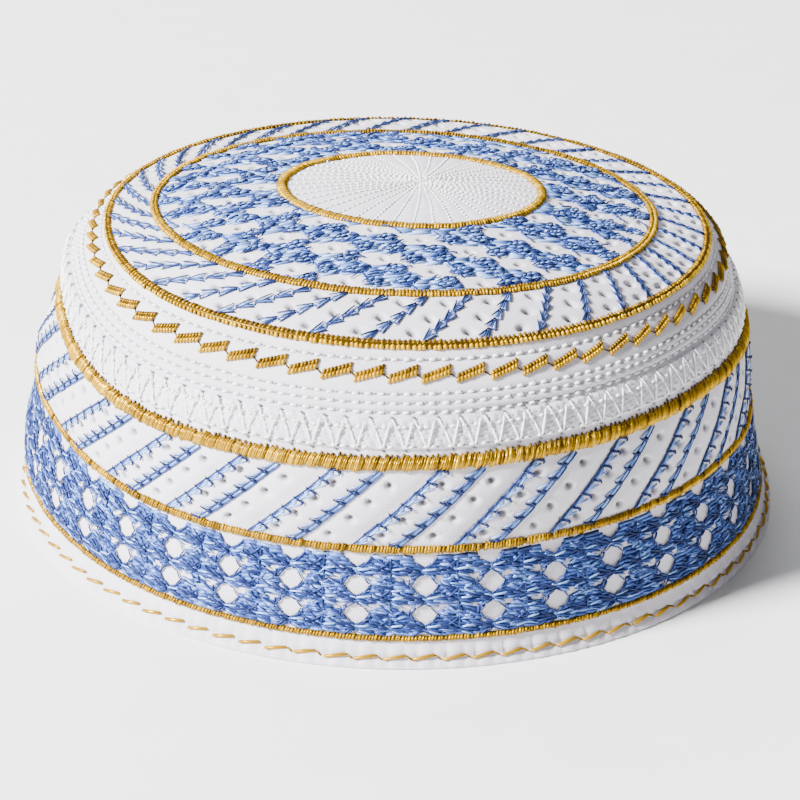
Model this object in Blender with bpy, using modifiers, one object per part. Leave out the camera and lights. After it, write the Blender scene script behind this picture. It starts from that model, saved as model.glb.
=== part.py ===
"""Embroidered prayer cap: quilted round crown, tapering side band and turned hem.

The crown and the band are cloth shells. Gold thread cords, a gold step braid and
two fields of blue embroidery stand proud of the cloth. Each sub-part is one closed
body, and touching pieces keep a small gap.

Units are metres and +Z is up. The origin is the middle of the hem, on the surface
that the cap stands on, and the front of the cap looks along -Y.
"""

from bisect import bisect_right
from collections import namedtuple
from math import cos, pi, radians, sin, tau

import bmesh
import bpy
from mathutils import Vector

MM = 0.001

# Cloth and clearances in millimetres
CLOTH_THICKNESS = 2.0
GAP = 0.3
WELD_DISTANCE = 0.001
ROUND_COLUMNS = 56

# Profile of the cap in millimetres, from the middle of the crown down to the hem.
# depth_loss makes the row shallower than it is wide, rear_drop and right_drop lean
# it, shift moves it to the right, and the last two press its sides out of round.
ProfileRow = namedtuple(
    "ProfileRow",
    "name radius depth_loss height rear_drop right_drop shift left_bulge right_dent",
)
PROFILE = (
    ProfileRow("crown_middle", 0.0, 0.0, 77.5, 0.0, 0.0, 4.0, 0.0, 0.0),
    ProfileRow("crown_dome", 16.0, 0.0, 77.0, 2.0, 0.5, 3.5, 0.0, 0.0),
    ProfileRow("crown_cord_inner", 31.0, 0.5, 75.5, 3.0, 1.0, 2.0, 0.0, 0.0),
    ProfileRow("crown_field", 46.0, 0.5, 73.5, 3.5, 2.0, 1.0, 0.0, 0.0),
    ProfileRow("crown_cord_middle", 60.0, 0.5, 71.0, 3.5, 2.0, 0.0, 0.0, 0.0),
    ProfileRow("crown_border", 66.5, 0.0, 69.5, 2.5, 2.0, 0.0, 0.0, 0.0),
    ProfileRow("crown_cord_outer", 72.0, 0.0, 67.5, 1.0, 1.5, 0.0, 0.0, 0.0),
    ProfileRow("step_braid", 76.0, -0.5, 64.0, -0.5, 1.0, 0.0, 1.0, 0.5),
    ProfileRow("crown_shoulder", 79.0, -0.5, 60.5, -1.0, 0.0, 0.0, 1.5, 1.5),
    ProfileRow("seam", 81.0, 0.0, 56.0, -1.0, -0.5, 0.0, 0.5, 2.0),
    ProfileRow("band_cord_upper", 84.0, 0.0, 47.5, -1.0, -1.0, 0.0, 1.0, 2.5),
    ProfileRow("band_upper", 86.0, 0.0, 37.5, -1.0, -0.5, 0.0, 3.0, 2.0),
    ProfileRow("band_cord_middle", 87.0, 0.5, 27.5, -1.0, 0.0, 0.0, 3.0, 2.5),
    ProfileRow("band_lower", 89.5, 0.5, 16.5, -0.5, 0.0, 0.0, 3.5, 3.0),
    ProfileRow("band_cord_lower", 91.5, 1.0, 6.5, 0.0, 0.5, 0.0, 2.0, 3.0),
    ProfileRow("hem_stitch", 93.5, 1.5, 2.5, 0.0, 0.5, 0.0, 1.0, 3.0),
    ProfileRow("hem_edge", 95.0, 1.5, 0.0, 0.0, 0.0, 0.0, 1.0, 3.0),
)
PROFILE_NUMBERS = [tuple(row[1:]) for row in PROFILE]
SIDE_SHARPNESS = 8

# How far a sewn row strays from its even place down the cloth, in millimetres. The rows
# run high on the left of the cap, low on the right and low at the rear.
RowStray = namedtuple("RowStray", "length left right rear")
ROW_STRAYS = (
    RowStray(58.0, 0.0, 0.0, 0.0),
    RowStray(73.0, -1.6, 0.8, 2.4),
    RowStray(79.0, -3.2, 3.0, 3.0),
    RowStray(87.0, -5.6, 3.8, 2.0),
    RowStray(97.0, -6.9, 4.0, 0.5),
    RowStray(117.0, -6.0, 3.5, 0.0),
    RowStray(138.0, -1.0, 0.8, 0.0),
    RowStray(142.5, 0.0, 0.0, 0.0),
)
# Where each stray is largest, and how narrow and how sharp it is
StrayPlace = namedtuple("StrayPlace", "angle narrowness sharpness")
LEFT_STRAY = StrayPlace(radians(-178.0), 1.6, 3)
RIGHT_STRAY = StrayPlace(radians(5.0), 2.0, 2)
REAR_STRAY = StrayPlace(radians(85.0), 2.2, 2)

# Where the cloth pieces end, as distances in millimetres along the profile past a row
CROWN_END_PAST_SEAM = 2.2
BAND_START_PAST_SEAM = 3.2
BAND_END_PAST_CORD = 1.0

# Puckered strip over the joint of crown and band
SEAM_STRIP_WIDTH = 5.6
SEAM_STRIP_ABOVE_SEAM = 0.5
SEAM_STRIP_TOP_SHARE = 0.5
SEAM_STRIP_HEIGHT = 1.3
SEAM_PUCKERS = 56
SEAM_PUCKER_DEPTH = 0.4

# Hem, a folded edge
HEM_THICKNESS = 2.8
HEM_EDGE_ROUND = 0.7
HEM_TOP_SLANT = 1.3

# Gold cords laid on the cloth: width and height in millimetres, columns round the cap
Cord = namedtuple("Cord", "row width height columns")
CORDS = (
    Cord("crown_cord_inner", 2.2, 1.3, 40),
    Cord("crown_cord_middle", 2.0, 1.2, ROUND_COLUMNS),
    Cord("crown_cord_outer", 2.8, 1.4, ROUND_COLUMNS),
    Cord("band_cord_upper", 3.4, 1.5, ROUND_COLUMNS),
    Cord("band_cord_middle", 2.0, 1.2, ROUND_COLUMNS),
    Cord("band_cord_lower", 1.4, 1.0, ROUND_COLUMNS),
)
CORD_TOP_SHARE = 0.55

# Gold step braid: a row of slanted blocks that climb and fall back
STEP_COUNT = 66
STEP_RISE = 2.2
STEP_WIDTH = 1.9
STEP_HEIGHT = 1.0
STEP_LENGTH_SHARE = 0.86
STEP_FIRST_ANGLE = radians(-87.0)

# Blue embroidered fields
FIELD_HEIGHT = 1.0
BAND_FIELD_GAP = 0.8
BAND_FIELD_THICKNESS = 0.5
BAND_WINDOWS = 38
BAND_WINDOW_ROWS = 2
BAND_WINDOW_HEIGHT = 5.6
BAND_WINDOW_WAIST = 6.4
BAND_WINDOW_TOP = 3.0
BAND_WINDOW_FIRST_ANGLE = radians(-87.0)

# Colours of cloth and threads, linear RGB
WHITE_COTTON = (0.86, 0.87, 0.90)
GOLD_THREAD = (0.62, 0.36, 0.04)
BLUE_THREAD = (0.10, 0.22, 0.55)


def clear_scene():
    """Remove every object of the open scene."""
    for obj in list(bpy.data.objects):
        bpy.data.objects.remove(obj, do_unlink=True)


def blended_rows(before, start, end, after, share):
    """Smooth curve through start and end, with the rows on both sides as guides."""
    values = []
    for a, b, c, d in zip(before, start, end, after):
        bend = 2 * a - 5 * b + 4 * c - d
        twist = 3 * b - a - 3 * c + d
        values.append(0.5 * (2 * b + (c - a) * share + bend * share**2 + twist * share**3))
    return values


def mirrored_centre_row():
    """The first ring beyond the middle of the crown, as seen on the far side."""
    row = PROFILE[1]
    return (-row.radius, row.depth_loss, row.height, -row.rear_drop, -row.right_drop,
            row.shift, row.left_bulge, row.right_dent)


def profile_values(position):
    """Radius, height and shape terms at a fractional row number."""
    numbers = PROFILE_NUMBERS
    last = len(numbers) - 1
    position = min(max(position, 0.0), float(last))
    index = min(int(position), last - 1)
    before = numbers[index - 1] if index > 0 else mirrored_centre_row()
    if index + 2 <= last:
        after = numbers[index + 2]
    else:
        after = [2 * end - start for start, end in zip(numbers[last - 1], numbers[last])]
    return blended_rows(before, numbers[index], numbers[index + 1], after, position - index)


SAMPLES_PER_ROW = 24
SAMPLE_COUNT = SAMPLES_PER_ROW * (len(PROFILE) - 1) + 1
SAMPLED_POSITIONS = [step / SAMPLES_PER_ROW for step in range(SAMPLE_COUNT)]


def measured_lengths():
    """Distance along the profile from the middle of the crown to each sampled position."""
    lengths = [0.0]
    for start, end in zip(SAMPLED_POSITIONS, SAMPLED_POSITIONS[1:]):
        first = profile_values(start)
        second = profile_values(end)
        step = Vector((second[0] - first[0], second[2] - first[2]))
        lengths.append(lengths[-1] + step.length)
    return lengths


SAMPLED_LENGTHS = measured_lengths()
PROFILE_LENGTH = SAMPLED_LENGTHS[-1]


def row_named(name):
    """The profile row of that name."""
    return next(row for row in PROFILE if row.name == name)


def length_at(row_name):
    """Distance along the profile of a named row, in millimetres."""
    return SAMPLED_LENGTHS[PROFILE.index(row_named(row_name)) * SAMPLES_PER_ROW]


def position_at(length):
    """Fractional row number at a distance along the profile, in millimetres."""
    length = min(max(length, 0.0), PROFILE_LENGTH)
    index = min(bisect_right(SAMPLED_LENGTHS, length) - 1, len(SAMPLED_LENGTHS) - 2)
    span = SAMPLED_LENGTHS[index + 1] - SAMPLED_LENGTHS[index]
    share = (length - SAMPLED_LENGTHS[index]) / span
    return (index + share) / SAMPLES_PER_ROW


def stray_share(place, angle):
    """How much of a stray there is at an angle, from 0 to 1."""
    off = ((angle - place.angle + pi) % tau - pi) * place.narrowness
    return cos(off) ** place.sharpness if abs(off) < pi / 2 else 0.0


def strayed_length(length, angle):
    """Where a sewn row really runs at an angle, as a distance down the profile."""
    if not ROW_STRAYS[0].length < length < ROW_STRAYS[-1].length:
        return length
    index = next(i for i, row in enumerate(ROW_STRAYS) if row.length >= length)
    above, below = ROW_STRAYS[index - 1], ROW_STRAYS[index]
    share = (length - above.length) / (below.length - above.length)
    left, right, rear = (
        start + (end - start) * share for start, end in zip(above[1:], below[1:])
    )
    return (length + left * stray_share(LEFT_STRAY, angle)
            + right * stray_share(RIGHT_STRAY, angle) + rear * stray_share(REAR_STRAY, angle))


def raw_point(length, angle):
    """Point of the cap's outer surface in millimetres, before it is centred."""
    values = profile_values(position_at(strayed_length(length, angle)))
    radius, depth_loss, height, rear_drop, right_drop, shift, left_bulge, right_dent = values
    across = cos(angle)
    left = max(-across, 0.0) ** SIDE_SHARPNESS
    right = max(across, 0.0) ** SIDE_SHARPNESS
    x = (radius + left_bulge * left - right_dent * right) * across + shift
    y = (radius - depth_loss) * sin(angle)
    z = height - rear_drop * sin(angle) - right_drop * across
    return Vector((x, y, z))


def sideways_offset():
    """How far the hem's widest line lies from the middle, in millimetres."""
    widest = PROFILE_LENGTH - HEM_EDGE_ROUND
    return (raw_point(widest, 0.0).x + raw_point(widest, pi).x) / 2


SIDEWAYS = sideways_offset()
SMALL_STEP = 0.05
SMALL_TURN = 0.001


def cap_point(length, angle, lift=0.0):
    """Point at a distance down the profile, an angle round it and a lift off the cloth."""
    point = raw_point(length, angle)
    if lift:
        down = raw_point(length + SMALL_STEP, angle) - raw_point(length - SMALL_STEP, angle)
        along = raw_point(length, angle + SMALL_TURN) - raw_point(length, angle - SMALL_TURN)
        point = point + lift * down.cross(along).normalized()
    return Vector((point.x - SIDEWAYS, point.y, point.z)) * MM


def hem_point(length, angle, inward):
    """Point of the hem, moved level and inwards by a distance in millimetres."""
    point = raw_point(length, angle)
    along = raw_point(length, angle + SMALL_TURN) - raw_point(length, angle - SMALL_TURN)
    inside = Vector((-along.y, along.x, 0.0)).normalized() * inward
    point = point + inside
    return Vector((point.x - SIDEWAYS, point.y, point.z)) * MM


def make_material(name, colour, roughness):
    """Plain cloth or thread material."""
    material = bpy.data.materials.new(name)
    material.use_nodes = True
    shader = material.node_tree.nodes["Principled BSDF"]
    shader.inputs["Base Color"].default_value = (*colour, 1.0)
    shader.inputs["Roughness"].default_value = roughness
    shader.inputs["Metallic"].default_value = 0.0
    material.diffuse_color = (*colour, 1.0)
    return material


def finish_object(name, mesh_data, material, collection):
    """Turn a bmesh into a smooth-shaded object of the collection."""
    mesh = bpy.data.meshes.new(name)
    mesh_data.to_mesh(mesh)
    mesh_data.free()
    mesh.materials.append(material)
    mesh.shade_smooth()
    obj = bpy.data.objects.new(name, mesh)
    collection.objects.link(obj)
    return obj


def wrapped_grid(columns, rows, closed_section, placer):
    """Grid rolled round the cap; placer(column, row) gives each vertex its place."""
    sheet = bmesh.new()
    bmesh.ops.create_grid(sheet, x_segments=columns, y_segments=rows, size=1.0)
    for vertex in sheet.verts:
        column = round((vertex.co.x + 1) / 2 * columns) % columns
        row = round((vertex.co.y + 1) / 2 * rows)
        if closed_section:
            row %= rows
        vertex.co = placer(column, row)
    bmesh.ops.remove_doubles(sheet, verts=sheet.verts, dist=WELD_DISTANCE * MM)
    return sheet


def face_outwards(sheet, open_sheet):
    """Make faces consistent; an open sheet is turned so that it faces away from the axis."""
    bmesh.ops.recalc_face_normals(sheet, faces=sheet.faces)
    if open_sheet:
        outward = sum(face.normal.dot(face.calc_center_median()) for face in sheet.faces)
        if outward < 0:
            bmesh.ops.reverse_faces(sheet, faces=sheet.faces)


def ring_solid(name, section, columns, material, collection, placer=cap_point):
    """Closed ring; section(angle, column) lists (length, lift) corners round the ring."""
    corners = len(section(0.0, 0))

    def place(column, row):
        angle = tau * column / columns
        length, lift = section(angle, column)[row]
        return placer(length, angle, lift)

    sheet = wrapped_grid(columns, corners, True, place)
    face_outwards(sheet, False)
    return finish_object(name, sheet, material, collection)


def cloth_sheet(stations, columns, lift=0.0):
    """Open sheet through the given distances down the profile."""

    def place(column, row):
        return cap_point(stations[row], tau * column / columns, lift)

    return wrapped_grid(columns, len(stations) - 1, False, place)


def add_thickness(obj, thickness, offset):
    """Give an open sheet its wall, inwards for -1 and outwards for 1."""
    wall = obj.modifiers.new("wall", "SOLIDIFY")
    wall.thickness = thickness * MM
    wall.offset = offset
    wall.use_even_offset = True
    wall.use_rim = True


def crown_panel(cotton, collection):
    """Round quilted top with its edge turned down over the shoulder."""
    end = length_at("seam") + CROWN_END_PAST_SEAM
    rows = ("crown_middle", "crown_dome", "crown_cord_inner", "crown_cord_middle",
            "crown_cord_outer", "step_braid", "crown_shoulder")
    stations = [length_at(name) for name in rows] + [end]
    sheet = cloth_sheet(stations, ROUND_COLUMNS)
    face_outwards(sheet, True)
    obj = finish_object("crown_panel", sheet, cotton, collection)
    add_thickness(obj, CLOTH_THICKNESS, -1)


def side_band(cotton, collection):
    """Tapering wall of the cap, from the seam down to the hem."""
    start = length_at("seam") + BAND_START_PAST_SEAM
    end = length_at("band_cord_lower") + BAND_END_PAST_CORD
    rows = ("band_cord_upper", "band_upper", "band_cord_middle", "band_lower")
    stations = [start] + [length_at(name) for name in rows] + [end]
    sheet = cloth_sheet(stations, ROUND_COLUMNS)
    face_outwards(sheet, True)
    obj = finish_object("side_band", sheet, cotton, collection)
    add_thickness(obj, CLOTH_THICKNESS, -1)


def seam_strip(cotton, collection):
    """Puckered strip that covers the joint of crown and band."""
    start = length_at("seam") - SEAM_STRIP_ABOVE_SEAM
    middle = start + SEAM_STRIP_WIDTH / 2
    crest = SEAM_STRIP_WIDTH / 2 * SEAM_STRIP_TOP_SHARE

    def section(angle, column):
        pucker = SEAM_PUCKER_DEPTH * (column % 2)
        top = SEAM_STRIP_HEIGHT - pucker
        return (
            (start, GAP),
            (middle, GAP),
            (start + SEAM_STRIP_WIDTH, GAP),
            (middle + crest, top),
            (middle - crest, top),
        )

    ring_solid("seam_strip", section, 2 * SEAM_PUCKERS, cotton, collection)


def turned_hem(cotton, collection):
    """Folded edge with a flat underside that the cap stands on."""
    start = length_at("band_cord_lower") + BAND_END_PAST_CORD + GAP

    def section(angle, column):
        return (
            (start, 0.0),
            (length_at("hem_stitch"), 0.0),
            (PROFILE_LENGTH - HEM_EDGE_ROUND, 0.0),
            (PROFILE_LENGTH, HEM_EDGE_ROUND),
            (PROFILE_LENGTH, HEM_THICKNESS - HEM_EDGE_ROUND),
            (PROFILE_LENGTH - HEM_EDGE_ROUND, HEM_THICKNESS),
            (start + HEM_TOP_SLANT, HEM_THICKNESS),
        )

    ring_solid("hem", section, ROUND_COLUMNS, cotton, collection, hem_point)


def gold_cord(cord, gold, collection):
    """One raised ring of gold thread."""
    middle = length_at(cord.row)
    half = cord.width / 2
    crest = half * CORD_TOP_SHARE

    def section(angle, column):
        return (
            (middle - half, GAP),
            (middle + half, GAP),
            (middle + crest, cord.height),
            (middle - crest, cord.height),
        )

    ring_solid(cord.row, section, cord.columns, gold, collection)


def step_braid(gold, collection):
    """Gold zigzag of slanted blocks that climb to the right and fall back."""
    middle = length_at("step_braid")
    half = STEP_WIDTH / 2

    def section(angle, column):
        sway = STEP_RISE / 2 if column % 2 == 0 else -STEP_RISE / 2
        line = middle + sway
        return (
            (line - half, GAP),
            (line + half, GAP),
            (line + half * CORD_TOP_SHARE, STEP_HEIGHT),
            (line - half * CORD_TOP_SHARE, STEP_HEIGHT),
        )

    columns = 2 * STEP_COUNT
    even_step = tau / columns
    block_turn = STEP_LENGTH_SHARE * tau / STEP_COUNT - even_step

    def placer(length, angle, lift):
        column = round(angle / even_step)
        turned = angle + STEP_FIRST_ANGLE + block_turn * (column % 2)
        return cap_point(length, turned, lift)

    ring_solid("step_braid", section, columns, gold, collection, placer)


def cord_on(row_name):
    """The cord that lies on a named row."""
    return next(cord for cord in CORDS if cord.row == row_name)


def crown_field(blue, collection):
    """Blue embroidered ring between the inner and the middle cord of the crown."""
    inner = cord_on("crown_cord_inner")
    outer = cord_on("crown_cord_middle")
    start = length_at(inner.row) + inner.width / 2 + GAP
    end = length_at(outer.row) - outer.width / 2 - GAP
    sheet = cloth_sheet((start, (start + end) / 2, end), ROUND_COLUMNS, GAP)
    face_outwards(sheet, True)
    obj = finish_object("crown_field", sheet, blue, collection)
    add_thickness(obj, FIELD_HEIGHT - GAP, 1)


def band_field(blue, collection):
    """Blue embroidered belt of the band, pierced by two rows of six-sided windows."""
    upper = cord_on("band_cord_middle")
    lower = cord_on("band_cord_lower")
    start = length_at(upper.row) + upper.width / 2 + GAP
    end = length_at(lower.row) - lower.width / 2 - GAP
    bar = (end - start - BAND_WINDOW_ROWS * BAND_WINDOW_HEIGHT) / (BAND_WINDOW_ROWS + 1)
    stations = [start]
    half_widths = [None]
    for _ in range(BAND_WINDOW_ROWS):
        top = stations[-1] + bar
        stations += [top, top + BAND_WINDOW_HEIGHT / 2, top + BAND_WINDOW_HEIGHT]
        half_widths += [BAND_WINDOW_TOP / 2, BAND_WINDOW_WAIST / 2, BAND_WINDOW_TOP / 2]
    stations.append(end)
    half_widths.append(None)
    columns = 2 * BAND_WINDOWS
    pitch = tau / BAND_WINDOWS
    belt_radius = row_named("band_lower").radius

    def place(column, row):
        window_middle = BAND_WINDOW_FIRST_ANGLE + pitch * (column // 2)
        if half_widths[row] is None:
            half_turn = pitch / 4
        else:
            half_turn = half_widths[row] / belt_radius
        side = 1 if column % 2 else -1
        return cap_point(stations[row], window_middle + side * half_turn, BAND_FIELD_GAP)

    sheet = bmesh.new()
    rows = len(stations) - 1
    bmesh.ops.create_grid(sheet, x_segments=columns, y_segments=rows, size=1.0)
    cells = {}
    for face in sheet.faces:
        middle = face.calc_center_median()
        cells[face] = (int((middle.x + 1) / 2 * columns), int((middle.y + 1) / 2 * rows))
    windows = [face for face, (column, row) in cells.items() if column % 2 == 0 and row % 3 != 0]
    bmesh.ops.delete(sheet, geom=windows, context="FACES_ONLY")
    loose = [edge for edge in sheet.edges if not edge.link_faces]
    bmesh.ops.delete(sheet, geom=loose, context="EDGES")
    for vertex in sheet.verts:
        column = round((vertex.co.x + 1) / 2 * columns) % columns
        row = round((vertex.co.y + 1) / 2 * rows)
        vertex.co = place(column, row)
    bmesh.ops.remove_doubles(sheet, verts=sheet.verts, dist=WELD_DISTANCE * MM)
    face_outwards(sheet, True)
    obj = finish_object("band_field", sheet, blue, collection)
    add_thickness(obj, BAND_FIELD_THICKNESS, 1)


def build_cap():
    """Make every sub-part of the cap in its own collection."""
    clear_scene()
    collection = bpy.data.collections.new("prayer_cap")
    bpy.context.scene.collection.children.link(collection)
    cotton = make_material("white_cotton", WHITE_COTTON, 0.85)
    gold = make_material("gold_thread", GOLD_THREAD, 0.4)
    blue = make_material("blue_thread", BLUE_THREAD, 0.5)
    crown_panel(cotton, collection)
    seam_strip(cotton, collection)
    side_band(cotton, collection)
    turned_hem(cotton, collection)
    for cord in CORDS:
        gold_cord(cord, gold, collection)
    step_braid(gold, collection)
    crown_field(blue, collection)
    band_field(blue, collection)


build_cap()
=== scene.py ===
# %% [markdown]
# # An embroidered prayer cap, sewn in Blender
#
# The cap is a round crown joined to a tapering side band. White cotton is quilted stiff, gold
# thread is laid in raised cords around it, and blue thread fills two belts and many slanted lines.
# The lesson builds it as a maker would: first the cloth, then every family of stitches on top.
#
# Everything sits on one curved surface. A place on it has two numbers: the length in millimetres
# down the cloth from the middle of the crown, and the turn in degrees from the front, to the
# right. A pattern written in those two numbers follows the cap wherever it goes.

# %% Load the frame
import math
import bmesh
import bpy
import numpy as np
from mathutils import Matrix


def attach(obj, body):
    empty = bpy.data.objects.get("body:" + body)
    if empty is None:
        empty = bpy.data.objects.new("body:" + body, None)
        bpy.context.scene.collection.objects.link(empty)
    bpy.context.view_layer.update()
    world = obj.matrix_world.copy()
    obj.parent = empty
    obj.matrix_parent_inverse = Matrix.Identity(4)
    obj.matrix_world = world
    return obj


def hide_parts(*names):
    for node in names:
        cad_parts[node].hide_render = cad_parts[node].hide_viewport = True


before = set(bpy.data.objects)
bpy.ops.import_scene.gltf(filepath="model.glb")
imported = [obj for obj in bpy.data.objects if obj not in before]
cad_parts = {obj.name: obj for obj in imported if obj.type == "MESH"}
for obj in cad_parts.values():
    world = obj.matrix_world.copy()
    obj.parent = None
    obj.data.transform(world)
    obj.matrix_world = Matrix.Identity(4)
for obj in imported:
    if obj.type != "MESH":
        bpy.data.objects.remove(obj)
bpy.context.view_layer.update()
MM = 0.001

# %% [markdown]
# ## The form of the cap
#
# A handmade cap isn't a perfect solid of revolution. Each row below gives one ring of the cap: its
# radius, how much shallower it is from front to back, its height, how far it drops at the rear and
# at the right, its sideways shift, and how much its left side bulges and its right side is dented.
# A smooth spline through the rows gives every ring between them.

# %% The rings of the cap, in millimetres
PROFILE = np.array([
    # radius, depth loss, height, rear drop, right drop, shift, left bulge, right dent
    [0.0, 0.0, 77.5, 0.0, 0.0, 4.0, 0.0, 0.0],      # middle of the crown
    [16.0, 0.0, 77.0, 2.0, 0.5, 3.5, 0.0, 0.0],     # dome
    [31.0, 0.5, 75.5, 3.0, 1.0, 2.0, 0.0, 0.0],     # inner cord
    [46.0, 0.5, 73.5, 3.5, 2.0, 1.0, 0.0, 0.0],     # blue field
    [60.0, 0.5, 71.0, 3.5, 2.0, 0.0, 0.0, 0.0],     # middle cord
    [66.5, 0.0, 69.5, 2.5, 2.0, 0.0, 0.0, 0.0],     # border
    [72.0, 0.0, 67.5, 1.0, 1.5, 0.0, 0.0, 0.0],     # outer cord
    [76.0, -0.5, 64.0, -0.5, 1.0, 0.0, 1.0, 0.5],   # step braid
    [79.0, -0.5, 60.5, -1.0, 0.0, 0.0, 1.5, 1.5],   # shoulder
    [81.0, 0.0, 56.0, -1.0, -0.5, 0.0, 0.5, 2.0],   # seam
    [84.0, 0.0, 47.5, -1.0, -1.0, 0.0, 1.0, 2.5],   # upper cord of the band
    [86.0, 0.0, 37.5, -1.0, -0.5, 0.0, 3.0, 2.0],   # upper half of the band
    [87.0, 0.5, 27.5, -1.0, 0.0, 0.0, 3.0, 2.5],    # middle cord of the band
    [89.5, 0.5, 16.5, -0.5, 0.0, 0.0, 3.5, 3.0],    # lower half of the band
    [91.5, 1.0, 6.5, 0.0, 0.5, 0.0, 2.0, 3.0],      # lower cord of the band
    [93.5, 1.5, 2.5, 0.0, 0.5, 0.0, 1.0, 3.0],      # stitches of the hem
    [95.0, 1.5, 0.0, 0.0, 0.0, 0.0, 1.0, 3.0],      # edge of the hem
])
SIDE_SHARPNESS = 8
SIDEWAYS = -1.988
SAMPLES_PER_ROW = 24


def profile_at(place):
    """Catmull-Rom spline through the rows of the profile."""
    place = np.clip(place, 0, len(PROFILE) - 1)
    row = np.minimum(place.astype(int), len(PROFILE) - 2)
    part = (place - row)[..., None]
    before = PROFILE[1] * np.array([-1, 1, 1, -1, -1, 1, 1, 1])
    rows = np.vstack([before, PROFILE, 2 * PROFILE[-1] - PROFILE[-2]])
    a, b, c, d = rows[row], rows[row + 1], rows[row + 2], rows[row + 3]
    return 0.5 * (2 * b + (c - a) * part + (2 * a - 5 * b + 4 * c - d) * part ** 2
                  + (3 * b - a - 3 * c + d) * part ** 3)


PLACES = np.linspace(0, len(PROFILE) - 1, SAMPLES_PER_ROW * (len(PROFILE) - 1) + 1)
RINGS = profile_at(PLACES)
LENGTHS = np.r_[0, np.cumsum(np.hypot(np.diff(RINGS[:, 0]), np.diff(RINGS[:, 2])))]
CLOTH_END = LENGTHS[-1]
print("from the middle of the crown to the hem edge:", round(CLOTH_END, 1), "mm")

# %% How the rows stray
# Hand sewing runs high on the left of the cap, and low on the right and at the rear.
STRAYS = np.array([
    # length, left, right, rear, in millimetres
    [0.0, 0.0, 0.0, 0.0], [58.0, 0.0, 0.0, 0.0], [73.0, -1.6, 0.8, 2.4], [79.0, -3.2, 3.0, 3.0],
    [87.0, -5.6, 3.8, 2.0], [97.0, -6.9, 4.0, 0.5], [117.0, -6.0, 3.5, 0.0],
    [138.0, -1.0, 0.8, 0.0], [142.5, 0.0, 0.0, 0.0],
])


def stray_share(turn, peak, narrowness, sharpness):
    off = (np.asarray(turn) - peak + 180) % 360 - 180
    off = np.minimum(np.abs(off) * narrowness, 90)
    return np.cos(np.radians(off)) ** sharpness


def strayed(length, turn):
    """Where a sewn row really runs, as a length down the cloth."""
    places = STRAYS[:, 0]
    left = np.interp(length, places, STRAYS[:, 1]) * stray_share(turn, -88, 1.6, 3)
    right = np.interp(length, places, STRAYS[:, 2]) * stray_share(turn, 95, 2.0, 2)
    rear = np.interp(length, places, STRAYS[:, 3]) * stray_share(turn, 175, 2.2, 2)
    return length + left + right + rear


print("a row near the seam strays by", np.round(strayed(97.0, np.array([-88, 0, 95])) - 97, 1), "mm")

# %% Points and directions on the cloth


def bare_surface(length, turn):
    """Points of the cloth, in millimetres, for lengths and turns of any matching shape."""
    ring = profile_at(np.interp(strayed(length, turn), LENGTHS, PLACES))
    radius, loss, height, rear, right, shift, bulge, dent = np.moveaxis(ring, -1, 0)
    across = np.sin(np.radians(turn))
    deep = -np.cos(np.radians(turn))
    left_swell = bulge * np.maximum(-across, 0) ** SIDE_SHARPNESS
    right_swell = dent * np.maximum(across, 0) ** SIDE_SHARPNESS
    x = (radius + left_swell - right_swell) * across + shift - SIDEWAYS
    y = (radius - loss) * deep
    return np.stack([x, y, height - rear * deep - right * across], -1)


def outward(length, turn):
    """Unit directions that stand straight out of the cloth."""
    near = np.clip(length, 0.4, CLOTH_END - 0.1)
    down = bare_surface(near + 0.1, turn) - bare_surface(near - 0.1, turn)
    along = bare_surface(near, turn + 0.1) - bare_surface(near, turn - 0.1)
    normal = np.cross(down, along)
    return normal / np.linalg.norm(normal, axis=-1, keepdims=True)


def surface(length, turn, lift=0.0):
    """Points at a height over the cloth, in millimetres."""
    length, turn, lift = np.broadcast_arrays(np.asarray(length, float), turn, lift)
    return bare_surface(length, turn) + outward(length, turn) * lift[..., None]


def around(length):
    """Millimetres of cloth in one degree of turn."""
    return np.radians(np.interp(length, LENGTHS, RINGS[:, 0]))


def wrap(turn):
    return (np.asarray(turn) + 180) % 360 - 180


def hill(distance, width):
    return np.exp(-(np.asarray(distance) / width) ** 2)


print("one degree at the hem is", round(float(around(CLOTH_END)), 2), "mm of cloth")

# %% [markdown]
# ## Where each pattern runs
#
# A cap like this is sewn row by row, and each row has its own count. Counts are kept in one place,
# so a change of one of them changes cloth, needle holes and thread together.

# %% Lengths and counts of the sewn rows
INNER_CORD, MIDDLE_CORD, OUTER_CORD = 31.1, 60.0, 73.0
UPPER_CORD, BELT_CORD, LOWER_CORD = 97.2, 117.1, 138.6
QUILT_LINES = 40
QUILT_STEP = 360 / QUILT_LINES
BORDER_LINES = 42
WALL_LINES = 50
WINDOW_COLUMNS = 38
ZIGZAGS = 105
DASHES = 90
BRAID_BLOCKS = 66
FIRST_WALL_LINE = 5.2
WALL_TOP, WALL_FOOT = 98.6, 116.2
WALL_SLANT = 12.4       # degrees between the top and the foot of a wall line
BORDER_FOOT, BORDER_TOP = 72.3, 61.0
WALL_LEAN = 0.705       # degrees that a wall line gains in one millimetre upwards
FIRST_TUCK = -14.9      # turn at which the first tuck of the hem begins, in degrees
SEAM = 90.6
BAND_END = 139.0
RUNNING_ROWS = [75.6, 82.0, 83.9, 86.1]
dice = np.random.default_rng(11)


def border_start(number):
    """Turn of a border line where it meets the outer cord; the hand sews them wider at the front."""
    even = number * 360 / BORDER_LINES - 9.6
    off = wrap(even - 33)
    return even + 9.7 * hill(off, np.where(off < 0, 38, 30))


def border_slant(turn):
    """Degrees that a border line gains from the outer to the middle cord."""
    return 10.7 - 8.1 * np.sin(np.radians(turn))


def wall_bend(turn):
    return -1.7 * hill(wrap(turn + 16), 13)


def wall_top(number):
    """Turn of a wall line where it leaves the upper cord."""
    even = FIRST_WALL_LINE + number * 360 / WALL_LINES
    return even + wall_bend(even) + (0.2 if number % 2 == 0 else -0.5)


print(BORDER_LINES, "border lines,", WALL_LINES, "wall lines,", WINDOW_COLUMNS, "window columns")

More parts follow.
